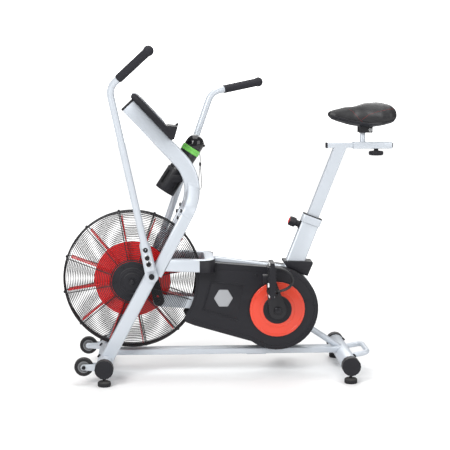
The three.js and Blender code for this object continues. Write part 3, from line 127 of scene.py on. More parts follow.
floor_mesh = bpy.data.meshes.new("studio_floor")
floor_shape = bmesh.new()
bmesh.ops.create_grid(floor_shape, x_segments=12, y_segments=12, size=14.0)
floor_shape.to_mesh(floor_mesh)
floor_shape.free()
floor = bpy.data.objects.new("studio_floor", floor_mesh)
floor_mesh.materials.append(floor_material())
bpy.context.scene.collection.objects.link(floor)


def soft_light(name, place, aim, size, power):
    """A square softbox at a place, turned towards a point."""
    data = bpy.data.lights.new(name, "AREA")
    data.shape = "SQUARE"
    data.size = size
    data.energy = power
    light = bpy.data.objects.new(name, data)
    light.location = place
    light.rotation_euler = (Vector(aim) - Vector(place)).to_track_quat("-Z", "Y").to_euler()
    bpy.context.scene.collection.objects.link(light)


soft_light("key_light", (-2.6, -3.4, 3.2), (0, 0, 0.6), 2.2, 185)
soft_light("fill_light", (3.2, -3.0, 2.0), (0, 0, 0.5), 3.0, 75)
soft_light("back_light", (0.5, 3.6, 3.4), (0, 0, 0.6), 3.2, 110)
soft_light("top_light", (0.0, 0.0, 4.2), (0, 0, 0), 3.0, 80)
room = bpy.data.worlds.new("studio_room")
room.use_nodes = True
room.node_tree.nodes["Background"].inputs["Color"].default_value = (1.0, 1.0, 1.0, 1)
seen = add_node(room.node_tree, "ShaderNodeLightPath", (-500, 0))
brightness = set_inputs(add_node(room.node_tree, "ShaderNodeMapRange", (-250, 0)), To_Min=0.26, To_Max=2.2)
room.node_tree.links.new(seen.outputs["Is Camera Ray"], brightness.inputs["Value"])
room.node_tree.links.new(brightness.outputs["Result"], room.node_tree.nodes["Background"].inputs["Strength"])
bpy.context.scene.world = room


# ------------------------------------------------- steel frame, powder coated
# Welded rectangular tubes on two round stabilisers, all in one silver-grey
# powder coat that melts to a faint orange-peel skin; corners are rolled, not
# sharp. The seat post and its rail are the same tube and the same coat.
def group_socket(tree, name, way, kind, value=None, low=None, high=None):
    socket = tree.interface.new_socket(name=name, in_out=way, socket_type=kind)
    if value is not None:
        socket.default_value = value
    if low is not None:
        socket.min_value = low
    if high is not None:
        socket.max_value = high
    return socket


def surface_grain_group():
    """Colour that drifts, dust where a face looks up, and a fine even relief."""
    group = bpy.data.node_groups.new("surface_grain", "ShaderNodeTree")
    group_socket(group, "Colour", "INPUT", "NodeSocketColor", (0.5, 0.5, 0.5, 1))
    for name, value in (("Drift", 0.06), ("Drift Scale", 9.0), ("Grain Scale", 900.0), ("Grain Stretch", 1.0),
                        ("Roughness", 0.4), ("Roughness Spread", 0.06), ("Dust", 0.0)):
        group_socket(group, name, "INPUT", "NodeSocketFloat", value)
    group_socket(group, "Colour", "OUTPUT", "NodeSocketColor")
    group_socket(group, "Roughness", "OUTPUT", "NodeSocketFloat")
    group_socket(group, "Height", "OUTPUT", "NodeSocketFloat")
    given = add_node(group, "NodeGroupInput", (-1100, 0))
    result = add_node(group, "NodeGroupOutput", (700, 0))
    place = add_node(group, "ShaderNodeTexCoord", (-1100, -300))
    link = group.links.new

    drift = set_inputs(add_node(group, "ShaderNodeTexNoise", (-800, 200)), Detail=5.0, Roughness=0.6)
    link(place.outputs["Object"], drift.inputs["Vector"])
    link(given.outputs["Drift Scale"], drift.inputs["Scale"])
    centred = add_node(group, "ShaderNodeMath", (-600, 200), operation="SUBTRACT")
    centred.inputs[1].default_value = 0.5
    link(drift.outputs["Fac"], centred.inputs[0])
    swing = add_node(group, "ShaderNodeMath", (-420, 200), operation="MULTIPLY_ADD", feed={
        0: centred.outputs[0], 1: given.outputs["Drift"], 2: 1.0})
    shaded = add_node(group, "ShaderNodeVectorMath", (-220, 200), operation="SCALE", feed={
        0: given.outputs["Colour"], "Scale": swing.outputs[0]})

    facing = add_node(group, "ShaderNodeNewGeometry", (-800, -420))
    upward = add_node(group, "ShaderNodeSeparateXYZ", (-620, -420), feed={0: facing.outputs["Normal"]})
    settled = add_node(group, "ShaderNodeMath", (-440, -420), operation="MULTIPLY", use_clamp=True, feed={
        0: upward.outputs["Z"], 1: drift.outputs["Fac"]})
    amount = add_node(group, "ShaderNodeMath", (-260, -420), operation="MULTIPLY", use_clamp=True, feed={
        0: settled.outputs[0], 1: given.outputs["Dust"]})
    dusted = add_node(group, "ShaderNodeMix", (0, 200), data_type="RGBA", feed={
        "B": (0.42, 0.41, 0.39, 1), "Factor": amount.outputs[0], "A": shaded.outputs[0]})
    link(dusted.outputs["Result"], result.inputs["Colour"])

    uneven = add_node(group, "ShaderNodeMath", (-220, 0), operation="MULTIPLY_ADD", feed={
        0: centred.outputs[0], 1: given.outputs["Roughness Spread"], 2: given.outputs["Roughness"]})
    dull = add_node(group, "ShaderNodeMath", (0, 0), operation="ADD", use_clamp=True, feed={
        0: uneven.outputs[0], 1: amount.outputs[0]})
    link(dull.outputs[0], result.inputs["Roughness"])

    stretch = add_node(group, "ShaderNodeCombineXYZ", (-800, -160), feed={
        "X": 1.0, "Z": 1.0, "Y": given.outputs["Grain Stretch"]})
    drawn = add_node(group, "ShaderNodeVectorMath", (-620, -160), operation="MULTIPLY", feed={
        0: place.outputs["Object"], 1: stretch.outputs[0]})
    grain = set_inputs(add_node(group, "ShaderNodeTexNoise", (-420, -160)), Detail=2.0, Roughness=0.5)
    link(drawn.outputs[0], grain.inputs["Vector"])
    link(given.outputs["Grain Scale"], grain.inputs["Scale"])
    link(grain.outputs["Fac"], result.inputs["Height"])
    return group


surface_grain = surface_grain_group()


def coated(name, colour, roughness, relief, shine=None, metal=None, **grain):
    """A material on surface_grain; relief is the depth of its grain in metres."""
    material = bpy.data.materials.new(name)
    material.use_nodes = True
    tree = material.node_tree
    shader = tree.nodes["Principled BSDF"]
    if shine is not None:
        shader.inputs["Specular IOR Level"].default_value = shine
    if metal is not None:
        shader.inputs["Metallic"].default_value = metal
    coat = add_node(tree, "ShaderNodeGroup", (-500, 100), node_tree=surface_grain)
    set_inputs(coat, Colour=(*colour, 1), Roughness=roughness, **grain)
    bump = set_inputs(add_node(tree, "ShaderNodeBump", (-250, -200)), Strength=1.0, Distance=relief)
    tree.links.new(coat.outputs["Colour"], shader.inputs["Base Color"])
    tree.links.new(coat.outputs["Roughness"], shader.inputs["Roughness"])
    tree.links.new(coat.outputs["Height"], bump.inputs["Height"])
    tree.links.new(bump.outputs["Normal"], shader.inputs["Normal"])
    return material


def shader_of(material):
    return material.node_tree.nodes["Principled BSDF"]


def rolled_edge_tree():
    """Shades a mesh smooth except across edges sharper than an angle."""
    tree = bpy.data.node_groups.new("rolled_edge_shading", "GeometryNodeTree")
    group_socket(tree, "Geometry", "INPUT", "NodeSocketGeometry")
    group_socket(tree, "Sharpest Angle", "INPUT", "NodeSocketFloat", 0.66)
    group_socket(tree, "Geometry", "OUTPUT", "NodeSocketGeometry")
    given = add_node(tree, "NodeGroupInput", (-700, 0))
    result = add_node(tree, "NodeGroupOutput", (500, 0))
    clear = add_node(tree, "GeometryNodeRemoveAttribute", (-500, 0), feed={"Name": "custom_normal"})
    faces = add_node(tree, "GeometryNodeSetShadeSmooth", (-200, 0), domain="FACE", feed={"Shade Smooth": True})
    angle = add_node(tree, "GeometryNodeInputMeshEdgeAngle", (-400, -250))
    sharp = add_node(tree, "FunctionNodeCompare", (-200, -250), operation="GREATER_THAN")
    edges = add_node(tree, "GeometryNodeSetShadeSmooth", (100, 0), domain="EDGE", feed={"Shade Smooth": False})
    tree.links.new(given.outputs["Geometry"], clear.inputs["Geometry"])
    tree.links.new(clear.outputs["Geometry"], faces.inputs["Geometry"])
    tree.links.new(angle.outputs["Unsigned Angle"], sharp.inputs["A"])
    tree.links.new(given.outputs["Sharpest Angle"], sharp.inputs["B"])
    tree.links.new(faces.outputs["Geometry"], edges.inputs["Geometry"])
    tree.links.new(sharp.outputs["Result"], edges.inputs["Selection"])
    tree.links.new(edges.outputs["Geometry"], result.inputs["Geometry"])
    return tree


rolled_edge_shading = rolled_edge_tree()


def input_name(tree, label):
    """The identifier of a tree's named input, which its modifier goes by."""
    return next(item.identifier for item in tree.interface.items_tree
                if item.item_type == "SOCKET" and item.in_out == "INPUT" and item.name == label)


def soften(names, material, edge=0.0010, sharpest=38.0, steps=2):
    """Gives CAD nodes their finish, rolled edges and a smooth skin."""
    for name in names:
        node = nodes[name]
        node.data.materials.clear()
        node.data.materials.append(material)
        weld = node.modifiers.new("joined_faces", "WELD")
        weld.merge_threshold = 0.00002
        if edge > 0:
            bevel = node.modifiers.new("rolled_edges", "BEVEL")
            bevel.width = edge
            bevel.segments = steps
            bevel.limit_method = "ANGLE"
            bevel.angle_limit = math.radians(sharpest)
            bevel.use_clamp_overlap = True
        shade = node.modifiers.new("smooth_skin", "NODES")
        shade.node_group = rolled_edge_shading
        shade[input_name(rolled_edge_shading, "Sharpest Angle")] = math.radians(sharpest)


powder_coat = coated("silver_powder_coat", (0.56, 0.60, 0.65), 0.36, 0.00005, metal=0.15, Drift=0.05, Drift_Scale=7.0,
                     Grain_Scale=620.0, Roughness_Spread=0.10, Dust=0.03)
shader_of(powder_coat).inputs["Coat Roughness"].default_value = 0.22
soften(["front_stabiliser", "rear_stabiliser", "base_tube", "front_post_left", "front_post_right",
        "mast_leg_left", "mast_leg_right", "side_rails", "mast", "seat_frame", "seat_post", "seat_slider"],
       powder_coat)


# ------------------------------------------------------ end caps, plugs, feet
# Injection-moulded black caps are pushed over the stabilisers' ends, and flat
# plugs close the mast's top and the saddle rail's two ends. Each foot is a
# rubber pad moulded round a steel stud.
moulded_black = coated("moulded_black", (0.010, 0.010, 0.014), 0.47, 0.00006, shine=0.32, Drift=0.25,
                       Drift_Scale=22.0, Grain_Scale=1500.0, Roughness_Spread=0.12, Dust=0.16)
foot_rubber = coated("foot_rubber", (0.016, 0.016, 0.018), 0.72, 0.00010, shine=0.32, Drift=0.3, Drift_Scale=30.0,
                     Grain_Scale=1100.0, Roughness_Spread=0.10, Dust=0.28)
soften(["end_cap_front_left", "end_cap_front_right", "end_cap_rear_left", "end_cap_rear_right"],
       moulded_black, edge=0.0035, steps=4)
soften(["foot_front_left", "foot_front_right", "foot_rear_left", "foot_rear_right"], foot_rubber, edge=0.0015)


def shade_by_angle(mesh, degrees=36.0):
    """Smooth faces, with a crease where two meet at more than this angle."""
    shape = bmesh.new()
    shape.from_mesh(mesh)
    for face in shape.faces:
        face.smooth = True
    for edge in shape.edges:
        edge.smooth = len(edge.link_faces) == 2 and edge.calc_face_angle(0.0) < math.radians(degrees)
    shape.to_mesh(mesh)
    shape.free()


def new_piece(name, shape, material, body, crease=36.0, outward=True):
    """A bmesh in the row frame becomes a named piece that rides on a body."""
    if outward:
        bmesh.ops.recalc_face_normals(shape, faces=shape.faces)
    mesh = bpy.data.meshes.new(name)
    shape.to_mesh(mesh)
    shape.free()
    shade_by_angle(mesh, crease)
    mesh.materials.append(material)
    piece = bpy.data.objects.new(name, mesh)
    bpy.context.scene.collection.objects.link(piece)
    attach(piece, body)
    return piece


def frame_of(origin, along, across):
    """A matrix whose Z runs along one direction and X as near across as it can."""
    z = Vector(along).normalized()
    x = Vector(across)
    x = (x - z * x.dot(z)).normalized()
    y = z.cross(x)
    matrix = Matrix((x, y, z)).transposed().to_4x4()
    matrix.translation = Vector(origin)
    return matrix


def skin(shape, loops, joined=False):
    """Covers a row of point loops with faces; joined closes the row on itself."""
    for here, there in zip(loops, loops[1:] + (loops[:1] if joined else [])):
        for i in range(len(here)):
            j = (i + 1) % len(here)
            shape.faces.new((here[i], here[j], there[j], there[i]))
    if not joined:
        shape.faces.new(loops[0][::-1])
        shape.faces.new(loops[-1])


def rounded_slab(shape, matrix, width, depth, height, corner, edge=0.0, corner_steps=4, edge_steps=2):
    """Adds a slab with round corners that stands on the matrix's XY plane."""
    outline = []
    for sx, sy, start in ((1, 1, 0), (-1, 1, 90), (-1, -1, 180), (1, -1, 270)):
        for i in range(corner_steps + 1):
            turn = math.radians(start + 90 * i / corner_steps)
            outline.append((sx * (width / 2 - corner) + corner * math.cos(turn),
                            sy * (depth / 2 - corner) + corner * math.sin(turn)))
    levels = [(0.0, 0.0)]
    if edge > 0:
        for i in range(edge_steps + 1):
            turn = math.radians(90 * i / edge_steps)
            levels.append((edge * (1 - math.cos(turn)), height - edge + edge * math.sin(turn)))
    else:
        levels.append((0.0, height))
    loops = []
    for inset, z in levels:
        loop = []
        for x, y in outline:
            reach = max(math.hypot(x, y), 1e-6)
            shrink = max(reach - inset, 1e-5) / reach
            loop.append(shape.verts.new(matrix @ Vector((x * shrink, y * shrink, z))))
        loops.append(loop)
    skin(shape, loops)


def turned(shape, matrix, profile, sides=40):
    """Adds a turned form; profile is (radius, height) from foot to head."""
    rings = []
    for radius, height in profile:
        if radius < 1e-6:
            rings.append([shape.verts.new(matrix @ Vector((0, 0, height)))])
            continue
        rings.append([shape.verts.new(matrix @ Vector((radius * math.cos(2 * math.pi * i / sides),
                                                       radius * math.sin(2 * math.pi * i / sides), height)))
                      for i in range(sides)])
    for low, high in zip(rings, rings[1:]):
        for i in range(sides):
            j = (i + 1) % sides
            if len(low) == 1 and len(high) == 1:
                continue
            if len(low) == 1:
                shape.faces.new((low[0], high[j], high[i]))
            elif len(high) == 1:
                shape.faces.new((low[i], low[j], high[0]))
            else:
                shape.faces.new((low[i], low[j], high[j], high[i]))
    if len(rings[0]) > 1:
        shape.faces.new(rings[0][::-1])
    if len(rings[-1]) > 1:
        shape.faces.new(rings[-1])


mast_top = Vector((-0.398, 0.0, 1.057))
mast_bend = Vector((-0.112, 0.0, 0.754))
mast_head = (mast_top - mast_bend).normalized()
mast_face = Vector((mast_head.z, 0.0, -mast_head.x))
plug = bmesh.new()
rounded_slab(plug, frame_of(mast_top - mast_head * 0.006, mast_head, (0, 1, 0)), 0.0505, 0.0605, 0.009, 0.010, 0.002)
new_piece("mast_plug", plug, moulded_black, "frame")
plug = bmesh.new()
rounded_slab(plug, frame_of((0.6325, 0, 0.897), (1, 0, 0), (0, 1, 0)), 0.0336, 0.0196, 0.0045, 0.003, 0.0012)
new_piece("saddle_rail_plug_rear", plug, moulded_black, "seat_post_body")
plug = bmesh.new()
rounded_slab(plug, frame_of((0.3795, 0, 0.897), (-1, 0, 0), (0, 1, 0)), 0.036, 0.022, 0.0045, 0.003, 0.0012)
new_piece("saddle_rail_plug_front", plug, moulded_black, "seat_post_body")


# ------------------------------------------------------------ bolts and nuts
# Zinc-plated or blackened socket screws hold the pieces together. Each has a
# low cylindrical head with a broken rim and a drive socket sunk in its middle.
def bolt_head_tree():
    """Sets a screw head on each point, square to the point's facing."""
    tree = bpy.data.node_groups.new("bolt_heads", "GeometryNodeTree")
    group_socket(tree, "Geometry", "INPUT", "NodeSocketGeometry")
    group_socket(tree, "Head Radius", "INPUT", "NodeSocketFloat", 0.007)
    group_socket(tree, "Head Height", "INPUT", "NodeSocketFloat", 0.005)
    group_socket(tree, "Rim Share", "INPUT", "NodeSocketFloat", 0.84)
    group_socket(tree, "Socket Share", "INPUT", "NodeSocketFloat", 0.55)
    group_socket(tree, "Sides", "INPUT", "NodeSocketInt", 18)
    group_socket(tree, "Finish", "INPUT", "NodeSocketMaterial")
    group_socket(tree, "Geometry", "OUTPUT", "NodeSocketGeometry")
    link = tree.links.new
    given = add_node(tree, "NodeGroupInput", (-1200, 0))
    result = add_node(tree, "NodeGroupOutput", (1500, 0))
    blank = add_node(tree, "GeometryNodeMeshCylinder", (-900, 200), feed={
        "Vertices": given.outputs["Sides"], "Radius": given.outputs["Head Radius"],
        "Depth": given.outputs["Head Height"]})

    def drawn_in(source, top, scale_from, offset_from, x):
        """Extrudes the top face along its normal and draws it in."""
        pull = add_node(tree, "GeometryNodeExtrudeMesh", (x, 200), feed={
            "Mesh": source, "Selection": top, "Individual": False, "Offset Scale": offset_from})
        narrow = add_node(tree, "GeometryNodeScaleElements", (x + 200, 200), feed={
            "Geometry": pull.outputs["Mesh"], "Selection": pull.outputs["Top"], "Scale": scale_from})
        return narrow.outputs["Geometry"], pull.outputs["Top"]

    rim = add_node(tree, "ShaderNodeMath", (-900, -200), operation="MULTIPLY", feed={
        0: given.outputs["Head Height"], 1: 0.22})
    flat = add_node(tree, "ShaderNodeMath", (-900, -350), operation="MULTIPLY", feed={
        0: given.outputs["Head Height"], 1: 0.01})
    sunk = add_node(tree, "ShaderNodeMath", (-900, -500), operation="MULTIPLY", feed={
        0: given.outputs["Head Height"], 1: -0.75})
    whole = add_node(tree, "ShaderNodeValue", (-900, -650))
    whole.outputs[0].default_value = 1.0
    mesh, top = drawn_in(blank.outputs["Mesh"], blank.outputs["Top"], given.outputs["Rim Share"], rim.outputs[0],
                         -650)
    mesh, top = drawn_in(mesh, top, given.outputs["Socket Share"], flat.outputs[0], -200)
    mesh, top = drawn_in(mesh, top, whole.outputs[0], sunk.outputs[0], 250)
    facing = add_node(tree, "GeometryNodeInputNamedAttribute", (250, -250), data_type="FLOAT_VECTOR", feed={
        "Name": "facing"})
    turn = add_node(tree, "FunctionNodeAlignRotationToVector", (450, -250), axis="Z", feed={
        "Vector": facing.outputs["Attribute"]})
    points = add_node(tree, "GeometryNodeMeshToPoints", (450, 0), feed={"Mesh": given.outputs["Geometry"]})
    setting = add_node(tree, "GeometryNodeInstanceOnPoints", (750, 100), feed={
        "Points": points.outputs["Points"], "Instance": mesh, "Rotation": turn.outputs["Rotation"]})
    real = add_node(tree, "GeometryNodeRealizeInstances", (1000, 100), feed={
        "Geometry": setting.outputs["Instances"]})
    finish = add_node(tree, "GeometryNodeSetMaterial", (1250, 100), feed={
        "Geometry": real.outputs["Geometry"], "Material": given.outputs["Finish"]})
    link(finish.outputs["Geometry"], result.inputs["Geometry"])
    return tree


bolt_heads = bolt_head_tree()


def grown(name, tree, points, body, slot, crease=36.0, facings=None, edges=(), **inputs):
    """Runs a tree on a few points and keeps what it makes as a plain piece."""
    seed = bpy.data.meshes.new(name + "_seed")
    seed.from_pydata([tuple(point) for point in points], list(edges), [])
    if facings is not None:
        layer = seed.attributes.new("facing", "FLOAT_VECTOR", "POINT")
        for item, facing in zip(layer.data, facings):
            item.vector = facing
    carrier = bpy.data.objects.new(name + "_seed", seed)
    bpy.context.scene.collection.objects.link(carrier)
    growth = carrier.modifiers.new("growth", "NODES")
    growth.node_group = tree
    for label, value in inputs.items():
        growth[input_name(tree, label.replace("_", " "))] = value
    grid = bpy.context.evaluated_depsgraph_get()
    mesh = bpy.data.meshes.new_from_object(carrier.evaluated_get(grid), depsgraph=grid)
    mesh.name = name
    bpy.data.objects.remove(carrier)
    shade_by_angle(mesh, crease)
    piece = bpy.data.objects.new(name, mesh)
    bpy.context.scene.collection.objects.link(piece)
    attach(piece, body)
    return piece


black_screw = coated("blackened_screw", (0.022, 0.022, 0.026), 0.33, 0.00002, metal=0.6, Drift=0.3, Drift_Scale=80.0,
                     Grain_Scale=2500.0, Roughness_Spread=0.15)
bright_zinc = coated("bright_zinc", (0.60, 0.61, 0.62), 0.28, 0.00003, metal=0.95, Drift=0.2, Drift_Scale=60.0,
                     Grain_Scale=500.0, Grain_Stretch=0.08, Roughness_Spread=0.15)


def bolts(name, body, places, radius=0.007, height=0.005, finish=black_screw, slot="black_steel", sides=18, **more):
    """Screw heads; each place is a point on the surface and its outward side."""
    lifted = [Vector(point) + Vector(facing).normalized() * height * 0.45 for point, facing in places]
    return grown(name, bolt_heads, lifted, body, slot, facings=[facing for _, facing in places],
                 Head_Radius=radius, Head_Height=height, Finish=finish, Sides=sides, **more)


for side, label in ((-1, "left"), (1, "right")):
    outward = (0, side, 0)
    bolts(f"stabiliser_bolts_{label}", "frame",
          [((0.451 + 0.0225, side * 0.150, 0.067 + 0.0225), (0.7, 0, 0.7)),
           ((-0.490 - 0.0225, side * 0.100, 0.067 + 0.0225), (-0.7, 0, 0.7))], radius=0.0075)
    bolts(f"wheel_bolts_{label}", "frame", [((-0.568, side * (0.188 + 0.0166), 0.070), outward)], radius=0.0075,
          height=0.006)


# ----------------------------------------------------------- transport wheels
# Two small wheels under the front let the bike be tipped and rolled: a solid
# rubber tyre moulded on a ribbed plastic hub, on a screw between two lugs.
def turned_ring(shape, matrix, loop, sides=48, first=0.0, last=360.0):
    """Adds a closed section, given as (radius, height), turned round the axis."""
    whole = last - first >= 359.9
    count = sides if whole else sides + 1
    rings = []
    for i in range(count):
        turn = math.radians(first + (last - first) * i / sides)
        rings.append([shape.verts.new(matrix @ Vector((r * math.cos(turn), r * math.sin(turn), h))) for r, h in loop])
    skin(shape, rings, joined=whole)


WHEEL_X, WHEEL_Z, WHEEL_Y, WHEEL_RADIUS, WHEEL_HALF = -0.568, 0.070, 0.188, 0.036, 0.011
hub_grey = coated("hub_grey", (0.20, 0.205, 0.215), 0.45, 0.00004, Drift=0.2, Drift_Scale=40.0, Grain_Scale=1400.0,
                  Dust=0.1)
for side, label in ((-1, "left"), (1, "right")):
    axis = frame_of((WHEEL_X, side * WHEEL_Y, WHEEL_Z), (0, 1, 0), (1, 0, 0))
    tyre = bmesh.new()
    turned_ring(tyre, axis, [
        (0.0225, -0.0105), (0.0325, -WHEEL_HALF), (0.0352, -0.0088), (WHEEL_RADIUS, -0.0050), (0.0352, -0.0030),
        (0.0352, 0.0030), (WHEEL_RADIUS, 0.0050), (0.0352, 0.0088), (0.0325, WHEEL_HALF), (0.0225, 0.0105)])
    tyre_piece = new_piece(f"wheel_tyre_{label}", tyre, foot_rubber, f"transport_wheel_{label}_body")
    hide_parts(f"transport_wheel_{label}")
    hub = bmesh.new()
    turned_ring(hub, axis, [
        (0.0046, -0.0110), (0.0105, -0.0110), (0.0112, -0.0045), (0.0185, -0.0045), (0.0190, -0.0100),
        (0.0224, -0.0102), (0.0224, 0.0102), (0.0190, 0.0100), (0.0185, 0.0045), (0.0112, 0.0045),
        (0.0105, 0.0110), (0.0046, 0.0110)])
    for i in range(6):
        spoke_turn = math.radians(60 * i + 15)
        spoke = (math.cos(spoke_turn), 0, math.sin(spoke_turn))
        for face in (-1, 1):
            foot = Vector((WHEEL_X, side * WHEEL_Y + face * 0.0044, WHEEL_Z)) + Vector(spoke) * 0.0148
            rounded_slab(hub, frame_of(foot, (0, face, 0), spoke), 0.0088, 0.0024, 0.0042, 0.0006, 0.0004)
    new_piece(f"wheel_hub_{label}", hub, hub_grey, f"transport_wheel_{label}_body")


# ----------------------------------------------------------- fan's wire guard
# Two shallow cages of hard-drawn wire face each other across the fan. Fine
# rings are spot-welded to twelve stays that bend over a heavy rim, and both
# are coated black. The wires break at each pivot and swell over the push rod.
FAN_X, FAN_Z = -0.383, 0.378
GUARD_EDGE, GUARD_EDGE_Y, GUARD_HUB, GUARD_HUB_Y = 0.262, 0.044, 0.0825, 0.085
guard_black = coated("guard_black", (0.012, 0.012, 0.015), 0.38, 0.00003, shine=0.32, Drift=0.2, Drift_Scale=20.0,
                     Grain_Scale=1200.0, Roughness_Spread=0.10, Dust=0.10)


def wire_round_axle_tree():
    """Repeats a wire's path round the fan's axle and gives it its thickness."""
    tree = bpy.data.node_groups.new("wire_round_axle", "GeometryNodeTree")
    group_socket(tree, "Geometry", "INPUT", "NodeSocketGeometry")
    group_socket(tree, "Count", "INPUT", "NodeSocketInt", 12)
    group_socket(tree, "First Turn", "INPUT", "NodeSocketFloat", 0.0)
    group_socket(tree, "Wire Radius", "INPUT", "NodeSocketFloat", 0.0012)
    group_socket(tree, "Wire Sides", "INPUT", "NodeSocketInt", 6)
    group_socket(tree, "Axle", "INPUT", "NodeSocketVector")
    for name in ("Shaft Gap Low", "Shaft Gap High", "Rod Way Middle", "Rod Way Half Size"):
        group_socket(tree, name, "INPUT", "NodeSocketVector")
    group_socket(tree, "Rod Clear Depth", "INPUT", "NodeSocketFloat", 0.0585)
    group_socket(tree, "Finish", "INPUT", "NodeSocketMaterial")
    group_socket(tree, "Geometry", "OUTPUT", "NodeSocketGeometry")
    link = tree.links.new
    given = add_node(tree, "NodeGroupInput", (-1600, 0))
    result = add_node(tree, "NodeGroupOutput", (1700, 0))
    spots = add_node(tree, "GeometryNodePoints", (-1300, 200), feed={
        "Count": given.outputs["Count"], "Position": given.outputs["Axle"]})
    index = add_node(tree, "GeometryNodeInputIndex", (-1500, -200))
    share = add_node(tree, "ShaderNodeMath", (-1300, -200), operation="DIVIDE", feed={
        0: index.outputs[0], 1: given.outputs["Count"]})
    angle = add_node(tree, "ShaderNodeMath", (-1100, -200), operation="MULTIPLY_ADD", feed={
        0: share.outputs[0], 1: -2 * math.pi, 2: given.outputs["First Turn"]})
    turn = add_node(tree, "ShaderNodeCombineXYZ", (-900, -200), feed={"Y": angle.outputs[0]})
    copies = add_node(tree, "GeometryNodeInstanceOnPoints", (-700, 100), feed={
        "Points": spots.outputs[0], "Instance": given.outputs["Geometry"], "Rotation": turn.outputs[0]})
    lines = add_node(tree, "GeometryNodeRealizeInstances", (-500, 100), feed={0: copies.outputs[0]})
    here = add_node(tree, "GeometryNodeInputPosition", (-900, -500))
    above = add_node(tree, "ShaderNodeVectorMath", (-700, -400), operation="SUBTRACT", feed={
        0: here.outputs[0], 1: given.outputs["Shaft Gap Low"]})
    below = add_node(tree, "ShaderNodeVectorMath", (-700, -550), operation="SUBTRACT", feed={
        0: given.outputs["Shaft Gap High"], 1: here.outputs[0]})
    least = add_node(tree, "ShaderNodeVectorMath", (-500, -450), operation="MINIMUM", feed={
        0: above.outputs[0], 1: below.outputs[0]})

    def smallest(vector, x, y):
        """The least of a vector's three parts."""
        parts = add_node(tree, "ShaderNodeSeparateXYZ", (x, y), feed={0: vector})
        first = add_node(tree, "ShaderNodeMath", (x + 180, y), operation="MINIMUM", feed={
            0: parts.outputs["X"], 1: parts.outputs["Y"]})
        last = add_node(tree, "ShaderNodeMath", (x + 360, y), operation="MINIMUM", feed={
            0: first.outputs[0], 1: parts.outputs["Z"]})
        return last.outputs[0]

    chosen = add_node(tree, "FunctionNodeCompare", (240, -450), operation="GREATER_THAN", feed={
        "A": smallest(least.outputs[0], -300, -450)})
    cut = add_node(tree, "GeometryNodeDeleteGeometry", (200, 100), domain="POINT", feed={
        "Geometry": lines.outputs[0], "Selection": chosen.outputs["Result"]})

    away = add_node(tree, "ShaderNodeVectorMath", (-700, -800), operation="SUBTRACT", feed={
        0: here.outputs[0], 1: given.outputs["Rod Way Middle"]})
    reach = add_node(tree, "ShaderNodeVectorMath", (-520, -800), operation="ABSOLUTE", feed={0: away.outputs[0]})
    room_left = add_node(tree, "ShaderNodeVectorMath", (-340, -800), operation="SUBTRACT", feed={
        0: given.outputs["Rod Way Half Size"], 1: reach.outputs[0]})
    swell = add_node(tree, "ShaderNodeMapRange", (240, -800), interpolation_type="SMOOTHSTEP", feed={
        "From Max": 0.020, "Value": smallest(room_left.outputs[0], -160, -800)})
    parts = add_node(tree, "ShaderNodeSeparateXYZ", (-700, -1050), feed={0: here.outputs[0]})
    depth = add_node(tree, "ShaderNodeMath", (-520, -1050), operation="ABSOLUTE", feed={0: parts.outputs["Y"]})
    short = add_node(tree, "ShaderNodeMath", (-340, -1050), operation="SUBTRACT", feed={
        0: given.outputs["Rod Clear Depth"], 1: depth.outputs[0]})
    lacking = add_node(tree, "ShaderNodeMath", (-160, -1050), operation="MAXIMUM", feed={0: short.outputs[0], 1: 0.0})
    push = add_node(tree, "ShaderNodeMath", (420, -900), operation="MULTIPLY", feed={
        0: swell.outputs["Result"], 1: lacking.outputs[0]})
    outward = add_node(tree, "ShaderNodeMath", (420, -1050), operation="SIGN", feed={0: parts.outputs["Y"]})
    signed = add_node(tree, "ShaderNodeMath", (600, -900), operation="MULTIPLY", feed={
        0: push.outputs[0], 1: outward.outputs[0]})
    shift = add_node(tree, "ShaderNodeCombineXYZ", (780, -900), feed={"Y": signed.outputs[0]})
    bulge = add_node(tree, "GeometryNodeSetPosition", (450, 100), feed={
        "Geometry": cut.outputs[0], "Offset": shift.outputs[0]})
    current = bulge.outputs[0]
    path = add_node(tree, "GeometryNodeMeshToCurve", (700, 100), feed={"Mesh": current})
    section = add_node(tree, "GeometryNodeCurvePrimitiveCircle", (700, -150), feed={
        "Resolution": given.outputs["Wire Sides"], "Radius": given.outputs["Wire Radius"]})
    wire = add_node(tree, "GeometryNodeCurveToMesh", (900, 100), feed={
        "Curve": path.outputs[0], "Profile Curve": section.outputs[0], "Fill Caps": True})
    real = add_node(tree, "GeometryNodeRealizeInstances", (1100, 100), feed={0: wire.outputs[0]})
    finish = add_node(tree, "GeometryNodeSetMaterial", (1350, 100), feed={
        "Geometry": real.outputs[0], "Material": given.outputs["Finish"]})
    link(finish.outputs[0], result.inputs["Geometry"])
    return tree


wire_round_axle = wire_round_axle_tree()


def guard_depth(radius):
    """How far out of the bike's middle plane the guard's cone stands."""
    share = (GUARD_EDGE - radius) / (GUARD_EDGE - GUARD_HUB)
    return GUARD_EDGE_Y + (GUARD_HUB_Y - GUARD_EDGE_Y) * share


